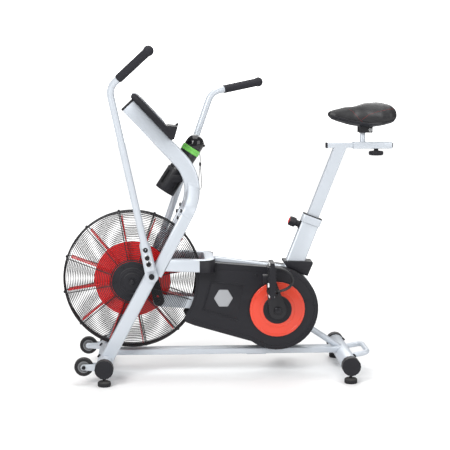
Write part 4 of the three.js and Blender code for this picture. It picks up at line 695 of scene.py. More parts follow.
RING_COUNT, RING_STEPS = 27, 108
for side, label in ((-1, "left"), (1, "right")):
    shaft_near, shaft_far = sorted((side * 0.040, side * 0.120))
    openings = dict(Axle=(FAN_X, 0, FAN_Z), Finish=guard_black,
                    Shaft_Gap_Low=(-0.3225, shaft_near, 0.3925), Shaft_Gap_High=(-0.2935, shaft_far, 0.4215),
                    Rod_Way_Middle=(-0.165, side * 0.0700, 0.2975), Rod_Way_Half_Size=(0.062, 0.0275, 0.046),
                    Rod_Clear_Depth=0.0585)
    rings, ring_edges = [], []
    for n in range(RING_COUNT):
        radius = 0.0890 + (0.2600 - 0.0890) * n / (RING_COUNT - 1)
        base = len(rings)
        for i in range(RING_STEPS):
            turn = 2 * math.pi * i / RING_STEPS
            rings.append((radius * math.cos(turn), side * guard_depth(radius), radius * math.sin(turn)))
            ring_edges.append((base + i, base + (i + 1) % RING_STEPS))
    for radius, depth in ((0.2655, 0.0400), (0.2668, 0.0310), (0.2670, 0.0220), (0.2670, 0.0130)):
        base = len(rings)
        for i in range(RING_STEPS):
            turn = 2 * math.pi * i / RING_STEPS
            rings.append((radius * math.cos(turn), side * depth, radius * math.sin(turn)))
            ring_edges.append((base + i, base + (i + 1) % RING_STEPS))
    ring_piece = grown(f"guard_rings_{label}", wire_round_axle, rings, "frame", "black_steel", edges=ring_edges,
                       Count=1, First_Turn=0.0, Wire_Radius=0.00115, Wire_Sides=5, crease=80.0, **openings)
    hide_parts(f"fan_guard_{label}")

    bend = [(0.2670, 0.004), (0.2672, 0.020), (0.2668, 0.032), (0.2650, 0.040), (0.2610, 0.0448)]
    slope = [(0.2610 + (0.0838 - 0.2610) * k / 34, 0.0) for k in range(1, 35)]
    stay = [(r, side * (d if d else guard_depth(r) + 0.0020), 0.0) for r, d in bend + slope]
    grown(f"guard_stays_{label}", wire_round_axle, stay, "frame", "black_steel",
          edges=[(i, i + 1) for i in range(len(stay) - 1)], Count=12, First_Turn=math.radians(-101.0),
          Wire_Radius=0.0019, Wire_Sides=6, crease=80.0, **openings)

    rim = bmesh.new()
    axle = frame_of((FAN_X, 0, FAN_Z), (0, 1, 0), (1, 0, 0))
    tube = [(0.2668 + 0.0042 * math.cos(math.radians(45 * k)),
             side * 0.0046 + 0.0038 * math.sin(math.radians(45 * k))) for k in range(8)]
    turned_ring(rim, axle, tube, sides=120)
    collar = [(0.0832 + 0.0026 * math.cos(math.radians(45 * k)),
               side * GUARD_HUB_Y + 0.0026 * math.sin(math.radians(45 * k))) for k in range(8)]
    turned_ring(rim, axle, collar, 72, 34.0, 368.0)
    new_piece(f"guard_rim_{label}", rim, guard_black, "frame", crease=80.0)

clips = bmesh.new()
for n in range(12):
    turn = math.radians(101 + 30 * n)
    away = Vector((math.cos(turn), 0, math.sin(turn)))
    spot = Vector((FAN_X, 0, FAN_Z)) + away * 0.2655
    rounded_slab(clips, frame_of(spot, away, (0, 1, 0)), 0.020, 0.0085, 0.0095, 0.002, 0.0018)
new_piece("guard_rim_clips", clips, guard_black, "frame")


# ----------------------------------------------------------------- air fan
# A pressed steel disc carries twelve flat blades that drag on the air. It is
# sprayed gloss red, and rivets hold the blades' feet to the disc.
fan_red = coated("fan_red", (0.92, 0.004, 0.008), 0.34, 0.00003, Drift=0.16, Drift_Scale=12.0, Grain_Scale=700.0,
                 Roughness_Spread=0.12)
shader_of(fan_red).inputs["Coat Weight"].default_value = 0.35
shader_of(fan_red).inputs["Coat Roughness"].default_value = 0.15
soften(["fan"], fan_red, edge=0.0006)
DISC_FACES = ((-1, -0.0160), (1, -0.0120))
rivet_places = []
for n in range(12):
    for lean in (-4.5, 4.5):
        for radius in (0.052, 0.094, 0.136):
            turn = math.radians(99 + 30 * n + lean * 0.094 / radius)
            for facing, y in DISC_FACES:
                rivet_places.append(((FAN_X + radius * math.cos(turn), y, FAN_Z + radius * math.sin(turn)),
                                     (0, facing, 0)))
bolts("fan_rivets", "fan_body", rivet_places, radius=0.0034, height=0.0020, finish=fan_red, slot="red_paint",
      sides=10, Rim_Share=0.7, Socket_Share=0.4)

# ------------------------------------------------------------- hub cover plates
# A stepped black moulding closes each side of the guard round the axle, held
# by small screws, with a domed nut on the axle's end.
soften(["hub_plate_left", "hub_plate_right"], moulded_black, edge=0.0014, steps=3)
soften(["fan_axle"], bright_zinc, edge=0.0008)
for side, label in ((-1, "left"), (1, "right")):
    outward = (0, side, 0)
    plate_screws, plate_screw_circle = [], 0.067
    for n in range(6):
        turn = math.radians(60 * n + 62)
        place = (FAN_X + plate_screw_circle * math.cos(turn), side * 0.0880,
                 FAN_Z + plate_screw_circle * math.sin(turn))
        plate_screws.append((place, outward))
    bolts(f"hub_plate_screws_{label}", "frame", plate_screws, radius=0.0038, height=0.0026, sides=12)
    cap = bmesh.new()
    axis = frame_of((FAN_X, side * 0.0951, FAN_Z), outward, (1, 0, 0))
    turned(cap, axis, [(0.0150, 0.0), (0.0150, 0.0020), (0.0112, 0.0026), (0.0108, 0.0052), (0.0085, 0.0076),
                       (0.0045, 0.0090), (0.0, 0.0094)], 32)
    new_piece(f"axle_nut_{label}", cap, black_screw, "frame", crease=50.0)
    ridges = bmesh.new()
    for radius, y in ((0.0450, 0.0920), (0.0735, 0.0880)):
        loop = [(radius + 0.0012 * math.cos(math.radians(60 * k)), side * y + 0.0010 * math.sin(math.radians(60 * k)))
                for k in range(6)]
        turned_ring(ridges, frame_of((FAN_X, 0, FAN_Z), (0, 1, 0), (1, 0, 0)), loop, 64,
                    42.0 if radius > 0.06 else 0.0, 362.0 if radius > 0.06 else 360.0)
    new_piece(f"hub_plate_ridges_{label}", ridges, moulded_black, "frame", crease=70.0)


# --------------------------------------------------------- drive, out of sight
# A ribbed belt runs from the crank's pulley to the fan's small one, beside two
# off-centre discs that work the push rods. All are plain machined parts.
drive_black = coated("drive_black", (0.025, 0.025, 0.028), 0.42, 0.00003, metal=0.35, shine=0.32, Drift=0.25,
                     Drift_Scale=30.0, Grain_Scale=1300.0, Roughness_Spread=0.12)
belt_rubber = coated("belt_rubber", (0.014, 0.014, 0.015), 0.62, 0.00020, Drift=0.2, Drift_Scale=40.0,
                     Grain_Scale=420.0, Grain_Stretch=6.0)
soften(["fan_pulley", "crank_pulley", "eccentric_left"], drive_black, edge=0.0007)
soften(["drive_belt"], belt_rubber, edge=0.0004)
soften(["crank_axle"], bright_zinc, edge=0.0008)


# ------------------------------------------------------ crank discs and arms
# A glossy orange-red cover disc turns with each forged black crank arm. A dark
# moulded boss covers the disc's middle, and a capped screw holds the arm.
CRANK_X, CRANK_Z, CRANK_ARM, CRANK_LEAN = 0.180, 0.263, 0.137, math.radians(13.4)
disc_orange = coated("disc_orange", (0.74, 0.048, 0.016), 0.30, 0.00003, Drift=0.07, Drift_Scale=10.0,
                     Grain_Scale=900.0, Roughness_Spread=0.10, Dust=0.02)
shader_of(disc_orange).inputs["Coat Weight"].default_value = 0.4
shader_of(disc_orange).inputs["Coat Roughness"].default_value = 0.12
soften(["crank_disc_left", "crank_disc_right"], disc_orange, edge=0.0022, steps=3)
soften(["crank_arm_left", "crank_arm_right"], drive_black, edge=0.0030, steps=3)
crank_axis = frame_of((CRANK_X, 0, CRANK_Z), (0, 1, 0), (1, 0, 0))
for side, label in ((-1, "left"), (1, "right")):
    boss = bmesh.new()
    face = 0.0906
    turned_ring(boss, crank_axis, [(r, side * y) for r, y in (
        (0.0125, face), (0.0560, face - 0.0038), (0.0560, face - 0.0022), (0.0530, face + 0.0004),
        (0.0440, face + 0.0010), (0.0425, face + 0.0026), (0.0300, face + 0.0028), (0.0125, face + 0.0028))], 56)
    new_piece(f"crank_boss_{label}", boss, moulded_black, "crankset")
    rings = bmesh.new()
    for radius in (0.0700, 0.0985):
        ridge = [(radius + 0.0014 * math.cos(math.radians(60 * k)),
                  side * (0.0866 + 0.0008 * math.sin(math.radians(60 * k)))) for k in range(6)]
        turned_ring(rings, crank_axis, ridge, 96)
    new_piece(f"crank_disc_ridges_{label}", rings, disc_orange, "crankset", crease=70.0)
    cap = bmesh.new()
    turned(cap, frame_of((CRANK_X, side * 0.1121, CRANK_Z), (0, side, 0), (1, 0, 0)),
           [(0.0150, 0.0), (0.0150, 0.0012), (0.0140, 0.0032), (0.0100, 0.0048), (0.0050, 0.0054), (0.0, 0.0055)], 36)
    new_piece(f"crank_cap_{label}", cap, black_screw, "crankset", crease=60.0)


# ------------------------------------------------------- pedals and toe straps
# Moulded pedals turn on steel spindles. Each has grip studs on its treads, a
# white reflector let into the edge, and a webbing strap with a cam buckle.
def pedal_centre(side):
    return Vector((CRANK_X + side * CRANK_ARM * math.sin(CRANK_LEAN), 0.0,
                   CRANK_Z - side * CRANK_ARM * math.cos(CRANK_LEAN)))


reflector_white = coated("reflector_white", (0.80, 0.81, 0.82), 0.18, 0.00020, Drift=0.05, Drift_Scale=40.0,
                         Grain_Scale=700.0)
strap_webbing = coated("strap_webbing", (0.018, 0.018, 0.020), 0.66, 0.00025, Drift=0.2, Drift_Scale=30.0,
                       Grain_Scale=800.0, Grain_Stretch=0.35, Dust=0.10)
soften(["pedal_left", "pedal_right"], moulded_black, edge=0.0014)
soften(["pedal_strap_left", "pedal_strap_right"], strap_webbing, edge=0.0008)
for side, label in ((-1, "left"), (1, "right")):
    centre = pedal_centre(side)
    body = f"pedal_{label}_body"
    mid_y = side * 0.175
    studs = []
    for face in (-1, 1):
        for y in (0.131, 0.139, 0.211, 0.219):
            for z in (-0.042, -0.030, -0.018, 0.018, 0.030, 0.042):
                studs.append(((centre.x + face * 0.0119, side * y, centre.z + z), (face, 0, 0)))
    bolts(f"pedal_studs_{label}", body, studs, radius=0.0019, height=0.0022, finish=moulded_black,
          slot="black_plastic", sides=8, Rim_Share=0.7, Socket_Share=0.5)
    lens = bmesh.new()
    for face in (-1, 1):
        for end in (-1, 1):
            rounded_slab(lens, frame_of((centre.x + face * 0.0079, mid_y, centre.z + end * 0.0615), (face, 0, 0),
                                        (0, 1, 0)), 0.052, 0.0105, 0.0030, 0.002, 0.0008)
    rounded_slab(lens, frame_of((centre.x - 0.0100, side * 0.214, centre.z - 0.0145), (-1, 0, 0), (0, 1, 0)),
                 0.014, 0.016, 0.0075, 0.002, 0.001)
    new_piece(f"pedal_reflectors_{label}", lens, reflector_white, body)
    lug = bmesh.new()
    rounded_slab(lug, frame_of((centre.x - 0.0100, side * 0.150, centre.z - 0.001), (-1, 0, 0), (0, 1, 0)),
                 0.030, 0.034, 0.022, 0.006, 0.002)
    for end in (-1, 1):
        rounded_slab(lug, frame_of((centre.x - 0.0118, mid_y, centre.z + end * 0.0485), (-1, 0, 0), (0, 1, 0)),
                     0.060, 0.007, 0.0050, 0.002, 0.001)
    new_piece(f"pedal_keeper_{label}", lug, moulded_black, body)
    buckle = bmesh.new()
    rounded_slab(buckle, frame_of((centre.x + 0.0135, mid_y, centre.z - 0.0530), (0.12, 0, -1), (0, 1, 0)),
                 0.044, 0.024, 0.0070, 0.003, 0.0015)
    rounded_slab(buckle, frame_of((centre.x + 0.0125, mid_y, centre.z - 0.0600), (0.12, 0, -1), (0, 1, 0)),
                 0.036, 0.016, 0.0040, 0.002, 0.001)
    new_piece(f"strap_buckle_{label}", buckle, moulded_black, body)
    holes = []
    for n in range(5):
        turn = math.radians(-38 + 19 * n)
        holes.append(((centre.x + 0.0120 + 0.0695 * math.cos(turn) ** 0.8, mid_y, centre.z + 0.052 * math.sin(turn)),
                      (math.cos(turn), 0, math.sin(turn))))
    bolts(f"strap_eyelets_{label}", body, holes, radius=0.0030, height=0.0014, finish=black_screw, sides=10)


# ------------------------------------------------------- levers, pivots, rods
# Bent round tubes with foam sleeves swing on a shaft at each side. The tube's
# foot is pressed flat and bolted to a plate; a black arm hangs from the same
# shaft inside the guard, and its flat steel rod runs back to the crank.
foam_black = bpy.data.materials.new("foam_black")
foam_black.use_nodes = True
shader_of(foam_black).inputs["Specular IOR Level"].default_value = 0.32
foam_tree = foam_black.node_tree
foam_skin = add_node(foam_tree, "ShaderNodeGroup", (-500, 100))
foam_skin.node_tree = surface_grain
set_inputs(foam_skin, Colour=(0.020, 0.020, 0.026, 1), Roughness=0.80, Drift=0.35, Drift_Scale=26.0,
           Grain_Scale=1500.0, Roughness_Spread=0.10, Dust=0.06)
foam_place = add_node(foam_tree, "ShaderNodeTexCoord", (-900, -300))
foam_cells = set_inputs(add_node(foam_tree, "ShaderNodeTexVoronoi", (-700, -300)), Scale=520.0)
foam_bump = set_inputs(add_node(foam_tree, "ShaderNodeBump", (-250, -250)), Strength=0.9, Distance=0.00045)
foam_tree.links.new(foam_place.outputs["Object"], foam_cells.inputs["Vector"])
foam_tree.links.new(foam_cells.outputs["Distance"], foam_bump.inputs["Height"])
foam_tree.links.new(foam_skin.outputs["Colour"], shader_of(foam_black).inputs["Base Color"])
foam_tree.links.new(foam_skin.outputs["Roughness"], shader_of(foam_black).inputs["Roughness"])
foam_tree.links.new(foam_bump.outputs["Normal"], shader_of(foam_black).inputs["Normal"])

soften(["lever_left", "lever_right"], powder_coat, edge=0.0, sharpest=50.0)
soften(["grip_left", "grip_right"], foam_black, edge=0.0, sharpest=62.0)
soften(["pivot_arm_left", "pivot_arm_right"], powder_coat, edge=0.0016, steps=3)
soften(["push_rod_left", "push_rod_right"], powder_coat, edge=0.0010)
PIVOT = Vector((-0.308, 0.0, 0.407))
LEVER_LEAN, LEVER_TURN = math.radians(12.0), math.radians(31.5)


def on_lever(side, distance, y, offset=0.0):
    """A point at a distance up that side's lever from its pivot, and its up."""
    lean = LEVER_LEAN if side < 0 else LEVER_LEAN - LEVER_TURN
    up = Vector((-math.sin(lean), 0.0, math.cos(lean)))
    across = Vector((math.cos(lean), 0.0, math.sin(lean)))
    return PIVOT + up * distance + across * offset + Vector((0, side * y, 0))


def arm_tip(side):
    """The lower arm's end pin, with that side's lever at rest."""
    turn = 0.0 if side < 0 else LEVER_TURN
    x, z = 0.028, -0.1094
    return Vector((PIVOT.x + x * math.cos(turn) + z * math.sin(turn), 0.0,
                   PIVOT.z - x * math.sin(turn) + z * math.cos(turn)))


LEVER_BOLTS = (0.0525, 0.0775, 0.1090)
for side, label in ((-1, "left"), (1, "right")):
    outward = (0, side, 0)
    body = f"lever_{label}_body"
    bolts(f"lever_foot_bolts_{label}", body, [(on_lever(side, d, 0.1712), outward) for d in LEVER_BOLTS],
          radius=0.0092, height=0.0055, Socket_Share=0.62)
    washers = bmesh.new()
    for distance in LEVER_BOLTS:
        turned(washers, frame_of(on_lever(side, distance, 0.1700), outward, (1, 0, 0)),
               [(0.0115, 0.0), (0.0115, 0.0016), (0.0108, 0.0020), (0.0, 0.0020)], 28)
    new_piece(f"lever_foot_washers_{label}", washers, bright_zinc, body)
    bolts(f"pivot_bolt_{label}", body, [(on_lever(side, 0.0, 0.1480), outward)], radius=0.0110, height=0.0075,
          Socket_Share=0.5)
    tip = arm_tip(side)
    hanger = bmesh.new()
    heading = math.atan2(tip.z - PIVOT.z, tip.x - PIVOT.x)
    outline = []
    for centre, start, stop in ((tip, -90, 90), (PIVOT, 90, 270)):
        for n in range(13):
            turn = heading + math.radians(start + (stop - start) * n / 12)
            outline.append((centre.x + 0.0206 * math.cos(turn), centre.z + 0.0206 * math.sin(turn)))
    sheath = []
    for y in (0.0566, 0.0654):
        sheath.append([hanger.verts.new((x, side * y, z)) for x, z in outline])
    for n in range(len(outline)):
        m = (n + 1) % len(outline)
        hanger.faces.new((sheath[0][n], sheath[0][m], sheath[1][m], sheath[1][n]))
    hanger.faces.new(sheath[0])
    hanger.faces.new(sheath[1])
    bmesh.ops.bevel(hanger, geom=[e for e in hanger.edges if abs(e.verts[0].co.y - e.verts[1].co.y) < 1e-6],
                    offset=0.0009, segments=2, affect="EDGES")
    new_piece(f"lower_arm_{label}", hanger, drive_black, body)
    below = tip + (Vector((PIVOT.x, 0, PIVOT.z)) - tip).normalized() * 0.019
    near_top = Vector((PIVOT.x, 0, PIVOT.z)) + (tip - PIVOT).normalized() * 0.026
    bolts(f"lower_arm_bolts_{label}", body,
          [(Vector((p.x, side * 0.0654, p.z)), outward) for p in (tip, near_top)], radius=0.0075, height=0.0045)
    bolts(f"lower_arm_hole_{label}", body, [(Vector((below.x, side * 0.0652, below.z)), outward)], radius=0.0040,
          height=0.0010, finish=fan_red, slot="red_paint", Rim_Share=0.9, Socket_Share=0.7)


# ---------------------------------------------------------------- drive shroud
# Two deep black mouldings meet round the drive. Each side has a rolled rim, a
# raised line inside it, a sunk panel with a blank grey badge, vents and screws.
def meets(names, start, towards):
    """Where a ray first meets any of the frame's nodes, and its outward side."""
    best = None
    for name in names:
        hit, place, facing, _ = bpy.data.objects[name].ray_cast(Vector(start), Vector(towards).normalized())
        if hit and (best is None or (place - Vector(start)).length < (best[0] - Vector(start)).length):
            best = (place.copy(), facing.copy())
    return best if best else (Vector(start), -Vector(towards).normalized())


def bead(shape, points, lift, sunk, side, half, height, closed=True):
    """Adds a low rib with broken edges along a line of (x, z) on a side face."""
    count = len(points)
    sections = []
    for i in range(count):
        before = Vector(points[i - 1] if closed or i else points[0])
        after = Vector(points[(i + 1) % count] if closed or i < count - 1 else points[-1])
        here = Vector(points[i])
        first = (here - before).normalized() if (here - before).length > 1e-9 else (after - here).normalized()
        second = (after - here).normalized() if (after - here).length > 1e-9 else first
        way = (first + second).normalized()
        mitre = min(1.0 / max(way.dot(first), 0.5), 1.6)
        normal = Vector((-way.y, way.x)) * mitre
        row = []
        for across, up in ((-half, -sunk), (-half * 0.55, height), (half * 0.55, height), (half, -sunk)):
            at = here + normal * across
            row.append(shape.verts.new((at.x, side * (lift + up), at.y)))
        sections.append(row)
    skin(shape, sections, joined=closed)


def rounded_path(corners, radius, steps=5):
    """A closed line of (x, z) with each of its corners eased."""
    line = []
    for i, corner in enumerate(corners):
        here = Vector(corner)
        before = (Vector(corners[i - 1]) - here).normalized()
        after = (Vector(corners[(i + 1) % len(corners)]) - here).normalized()
        start, stop = here + before * radius, here + after * radius
        for k in range(steps + 1):
            t = k / steps
            line.append(tuple(start * (1 - t) ** 2 + here * 2 * t * (1 - t) + stop * t ** 2))
    return line


def plate_of(shape, corners, side, low, high, edge):
    """Adds a flat plate with a broken edge from a line of (x, z)."""
    centre = sum((Vector(c) for c in corners), Vector((0, 0))) / len(corners)
    rows = []
    for inset, y in ((0.0, low), (0.0, high - edge), (edge * 0.35, high - edge * 0.3), (edge, high)):
        row = []
        for corner in corners:
            reach = Vector(corner) - centre
            at = centre + reach * (1 - inset / reach.length)
            row.append(shape.verts.new((at.x, side * y, at.y)))
        rows.append(row)
    skin(shape, rows)


shroud_black = coated("shroud_plastic", (0.0078, 0.0078, 0.0120), 0.46, 0.00007, shine=0.38, Drift=0.22,
                      Drift_Scale=9.0, Grain_Scale=900.0, Roughness_Spread=0.12, Dust=0.10)
badge_grey = coated("badge_grey", (0.36, 0.37, 0.39), 0.34, 0.00002, Drift=0.08, Drift_Scale=30.0, Grain_Scale=1800.0,
                    Roughness_Spread=0.08)
soften(["shroud_left", "shroud_right", "seat_tube_boot"], shroud_black, edge=0.0030)
soften(["seat_tube_sleeve"], moulded_black, edge=0.0008)
SHROUD_FACE = 0.075
for side, label in ((-1, "left"), (1, "right")):
    axis = frame_of((CRANK_X, 0, CRANK_Z), (0, side, 0), (1, 0, 0))
    first, last = (-128, 86) if side < 0 else (-86, 128)
    rim = bmesh.new()
    turned_ring(rim, axis, [(0.1565, 0.0265), (0.1622, 0.0265), (0.1622, 0.0700), (0.1618, 0.0722), (0.1606, 0.0742),
                            (0.1588, 0.0755), (0.1565, 0.0758)], 72, first, last)
    new_piece(f"shroud_rim_{label}", rim, shroud_black, "frame")
    line = [(CRANK_X + 0.147 * math.cos(math.radians(a)), CRANK_Z + 0.147 * math.sin(math.radians(a)))
            for a in range(92, -131, -3)]
    line = [(-0.098, 0.4235)] + line + [(-0.139, 0.2155)]
    trim = bmesh.new()
    bead(trim, line, SHROUD_FACE, 0.0006, side, 0.0014, 0.0009, closed=False)
    wedge = [(0.0543, 0.3600), (-0.0787, 0.3716), (-0.1099, 0.2636), (0.0269, 0.2212)]
    bead(trim, wedge, SHROUD_FACE, 0.0006, side, 0.0034, 0.0026, closed=False)
    guard_line = [(FAN_X + 0.2535 * math.cos(math.radians(a)), FAN_Z + 0.2535 * math.sin(math.radians(a)))
                  for a in range(-33, 6, 2)]
    bead(trim, guard_line, SHROUD_FACE, 0.0006, side, 0.0016, 0.0014, closed=False)
    inner = rounded_path([(-0.0727, 0.3665), (0.0487, 0.3552), (0.0224, 0.2275), (-0.1022, 0.2668)], 0.012)
    plate_of(trim, inner, side, SHROUD_FACE - 0.0006, SHROUD_FACE + 0.0004, 0.0003)
    for n in range(6):
        x = 0.1665 + 0.0072 * n
        louvre = rounded_path([(x, 0.4095), (x + 0.0036, 0.4090), (x + 0.0050, 0.4195), (x + 0.0014, 0.4200)],
                              0.0012, 3)
        plate_of(trim, louvre, side, SHROUD_FACE - 0.0006, SHROUD_FACE + 0.0014, 0.0006)
    new_piece(f"shroud_lines_{label}", trim, shroud_black, "frame")
    badge = bmesh.new()
    hexagon = rounded_path([(-0.067, 0.308), (-0.047, 0.341), (-0.013, 0.341), (0.007, 0.308), (-0.013, 0.275),
                            (-0.047, 0.275)], 0.004)
    plate_of(badge, hexagon, side, SHROUD_FACE - 0.0005, SHROUD_FACE + 0.0022, 0.0010)
    new_piece(f"shroud_badge_{label}", badge, badge_grey, "frame")
    bolts(f"shroud_screws_{label}", "frame",
          [((x, side * SHROUD_FACE, z), (0, side, 0)) for x, z in (
              (-0.0650, 0.4060), (0.0973, 0.3980), (-0.1450, 0.2240), (0.1247, 0.1300), (0.2780, 0.1560),
              (0.3240, 0.2790))], radius=0.0046, height=0.0018, Socket_Share=0.5)


# ------------------------------------------------- band and rail sleeves
# The seat frame's silver strip is rolled smoothly over the shroud's back, and a
# thin black moulding covers each rail where it bends in behind the shroud.
RAIL_HEIGHT = 0.4415
band = bmesh.new()
turned_ring(band, frame_of((CRANK_X, 0, CRANK_Z), (0, -1, 0), (1, 0, 0)),
            [(0.1560, -0.0243), (0.1620, -0.0243), (0.1630, -0.0232), (0.1630, 0.0232), (0.1620, 0.0243),
             (0.1560, 0.0243)], 44, -40, 48)
new_piece("seat_frame_band", band, powder_coat, "frame")
for side, label in ((-1, "left"), (1, "right")):
    sleeve = bmesh.new()
    line = [Vector((-0.124, 0.115, 0)), Vector((-0.120, 0.115, 0))]
    for step in range(1, 11):
        turn = math.radians(90 - 9 * step)
        line.append(Vector((-0.120 + 0.036 * math.cos(turn), 0.079 + 0.036 * math.sin(turn), 0)))
    line.append(Vector((-0.084, 0.0752, 0)))
    rings = []
    for i, at in enumerate(line):
        way = (line[min(i + 1, len(line) - 1)] - line[max(i - 1, 0)]).normalized()
        across = Vector((-way.y, way.x, 0))
        ring = []
        for u, v in ((0.0192, 0.0232), (0.0206, 0.0232), (0.0213, 0.0222), (0.0213, -0.0242), (0.0206, -0.0251),
                     (0.0192, -0.0251)):
            spot = at + across * u
            ring.append(sleeve.verts.new((spot.x, side * spot.y, RAIL_HEIGHT + v)))
        rings.append(ring)
    skin(sleeve, rings)
    new_piece(f"rail_sleeve_{label}", sleeve, moulded_black, "frame")


# ---------------------------------------------------------- seat tube collar
# The plastic guide at the seat tube's mouth sits in a thin silver band, so only
# its black lip shows above the paint.
seat_up = Vector((math.sin(math.radians(21.2)), 0, math.cos(math.radians(21.2))))
seat_front = Vector((-seat_up.z, 0, seat_up.x))
mouth = Vector((0.325, 0, 0.617))
tube_band = bmesh.new()
loops = []
for wide, deep, corner, low in ((0.0516, 0.0766, 0.0083, -0.0305), (0.0524, 0.0774, 0.0087, -0.0298),
                                (0.0524, 0.0774, 0.0087, -0.0016), (0.0516, 0.0766, 0.0083, -0.0010)):
    loop = []
    for sx, sy, start in ((1, 1, 0), (-1, 1, 90), (-1, -1, 180), (1, -1, 270)):
        for k in range(6):
            turn = math.radians(start + 18 * k)
            across = sx * (wide / 2 - corner) + corner * math.cos(turn)
            front = sy * (deep / 2 - corner) + corner * math.sin(turn)
            loop.append(tube_band.verts.new(mouth + seat_up * low + seat_front * front + Vector((0, across, 0))))
    loops.append(loop)
skin(tube_band, loops, joined=True)
new_piece("seat_tube_band", tube_band, powder_coat, "frame")


# ------------------------------------------------------------------ seat knobs
# Two hand knobs with six lobes: one pulls the height pin in front of the seat
# tube and has a red disc in its face, the other locks the saddle's slide.
def lobed(shape, matrix, radius, profile, lobes=6, depth=0.11, sides=60):
    """Adds a knob; profile is (share of the radius, height) up its axis."""
    rings = []
    for share, height in profile:
        ring = []
        for i in range(sides):
            turn = 2 * math.pi * i / sides
            reach = radius * share * (1 - depth * (0.5 - 0.5 * math.cos(lobes * turn)) ** 1.6)
            ring.append(shape.verts.new(matrix @ Vector((reach * math.cos(turn), reach * math.sin(turn), height))))
        rings.append(ring)
    skin(shape, rings)


knob_foot = mouth - seat_up * 0.0469
knob_axis = frame_of(knob_foot, seat_front, (0, 1, 0))
knob = bmesh.new()
turned(knob, knob_axis, [(0.0081, 0.0245), (0.0081, 0.0360), (0.0120, 0.0372), (0.0128, 0.0400), (0.0128, 0.0500),
                         (0.0118, 0.0535)], 32)
lobed(knob, knob_axis, 0.0200, [(0.62, 0.0525), (0.90, 0.0545), (0.99, 0.0580), (1.0, 0.0700), (0.98, 0.0765),
                                (0.90, 0.0800), (0.66, 0.0812), (0.62, 0.0800)])
knob_piece = new_piece("height_knob", knob, moulded_black, "post_knob_body", crease=30)
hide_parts("post_knob")
face = bmesh.new()
turned(face, knob_axis, [(0.0120, 0.0790), (0.0120, 0.0818), (0.0112, 0.0826), (0.0, 0.0829)], 32)
new_piece("height_knob_face", face, fan_red, "post_knob_body")
collar = bmesh.new()
rounded_slab(collar, frame_of(knob_foot + seat_front * 0.0350, seat_front, (0, 1, 0)), 0.030, 0.034, 0.0035, 0.006,
             0.001)
new_piece("height_knob_plate", collar, moulded_black, "frame")
lock_axis = frame_of((0.573, 0, 0.8745), (0, 0, -1), (1, 0, 0))
lock = bmesh.new()
turned(lock, lock_axis, [(0.0088, -0.0115), (0.0088, -0.0020), (0.0150, 0.0008)], 32)
lobed(lock, lock_axis, 0.0290, [(0.50, 0.0), (0.90, 0.0010), (0.985, 0.0035), (1.0, 0.0080), (0.985, 0.0140),
                                (0.90, 0.0172), (0.60, 0.0180), (0.40, 0.0166)], lobes=8, depth=0.09, sides=80)
lock_piece = new_piece("slide_lock_knob", lock, moulded_black, "slider_knob_body", crease=30)
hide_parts("slider_knob")


# --------------------------------------------------------------------- console
# A slim black computer lies on the mast's head, tilted to the rider: a rounded
# grey-blue top edge, a thin lens over a blank display, four keys and a bumped foot.
console_at = mast_top + mast_head * 0.006 + mast_face * 0.0303
display_glass = coated("display_glass", (0.030, 0.036, 0.036), 0.10, 0.00001, Drift=0.15, Drift_Scale=20.0,
                       Grain_Scale=600.0, Roughness_Spread=0.05)
lens_grey = coated("lens_grey", (0.115, 0.125, 0.150), 0.26, 0.00002, Drift=0.12, Drift_Scale=25.0,
                   Grain_Scale=1500.0, Roughness_Spread=0.10)
key_grey = coated("key_grey", (0.26, 0.27, 0.29), 0.42, 0.00003, Drift=0.10, Drift_Scale=60.0, Grain_Scale=1800.0)
soften(["console"], moulded_black, edge=0.0030)


def on_console(down, up, y=0.0):
    """A point on the console: down its face from the top, and above its back."""
    return console_at - mast_head * down + mast_face * up + Vector((0, y, 0))


lens = bmesh.new()
rounded_slab(lens, frame_of(on_console(0.0820, 0.0236), mast_face, (0, 1, 0)), 0.1400, 0.1500, 0.0036, 0.015, 0.0014)
turned_ring(lens, frame_of(on_console(0.0020, 0.0120), (0, 1, 0), mast_head),
            [(0.0112, -0.0752), (0.0121, -0.0752), (0.0126, -0.0742), (0.0126, 0.0742), (0.0121, 0.0752),
             (0.0112, 0.0752)], 16, -88, 88)
new_piece("console_lens", lens, lens_grey, "frame")
glass = bmesh.new()
rounded_slab(glass, frame_of(on_console(0.0640, 0.0270), mast_face, (0, 1, 0)), 0.1140, 0.0860, 0.0009, 0.006, 0.0003)
new_piece("console_display", glass, display_glass, "frame")
keys = bmesh.new()
for n in range(4):
    rounded_slab(keys, frame_of(on_console(0.1350, 0.0268, -0.042 + 0.028 * n), mast_face, (0, 1, 0)),
                 0.0200, 0.0120, 0.0020, 0.0055, 0.0008)
new_piece("console_keys", keys, key_grey, "frame")
spike = bmesh.new()
turned(spike, frame_of(on_console(0.1960, 0.0500), mast_face * 0.8 + mast_head * 0.2, (0, 1, 0)),
       [(0.0060, 0.0), (0.0054, 0.0060), (0.0036, 0.0110), (0.0018, 0.0130), (0.0, 0.0134)], 24)
new_piece("console_post", spike, moulded_black, "frame")
outward = Vector((-1, 0, 0.1))
spots = []
for side, label in ((-1, "left"), (1, "right")):
    for height in (0.6550, 0.6290):
        spots.append(meets(["mast", f"mast_leg_{label}"], (-0.45, side * 0.113, height), (1, 0, 0)))
bolts("mast_foot_bolts", "frame", [(p, outward) for p, _ in spots], radius=0.0072, height=0.0062, Socket_Share=0.5)
washers = bmesh.new()
for place, _ in spots:
    turned(washers, frame_of(place + Vector((0.0008, 0, 0)), outward, (0, 1, 0)),
           [(0.0100, 0.0), (0.0100, 0.0018), (0.0093, 0.0023), (0.0, 0.0023)], 24)
new_piece("mast_foot_washers", washers, bright_zinc, "frame")


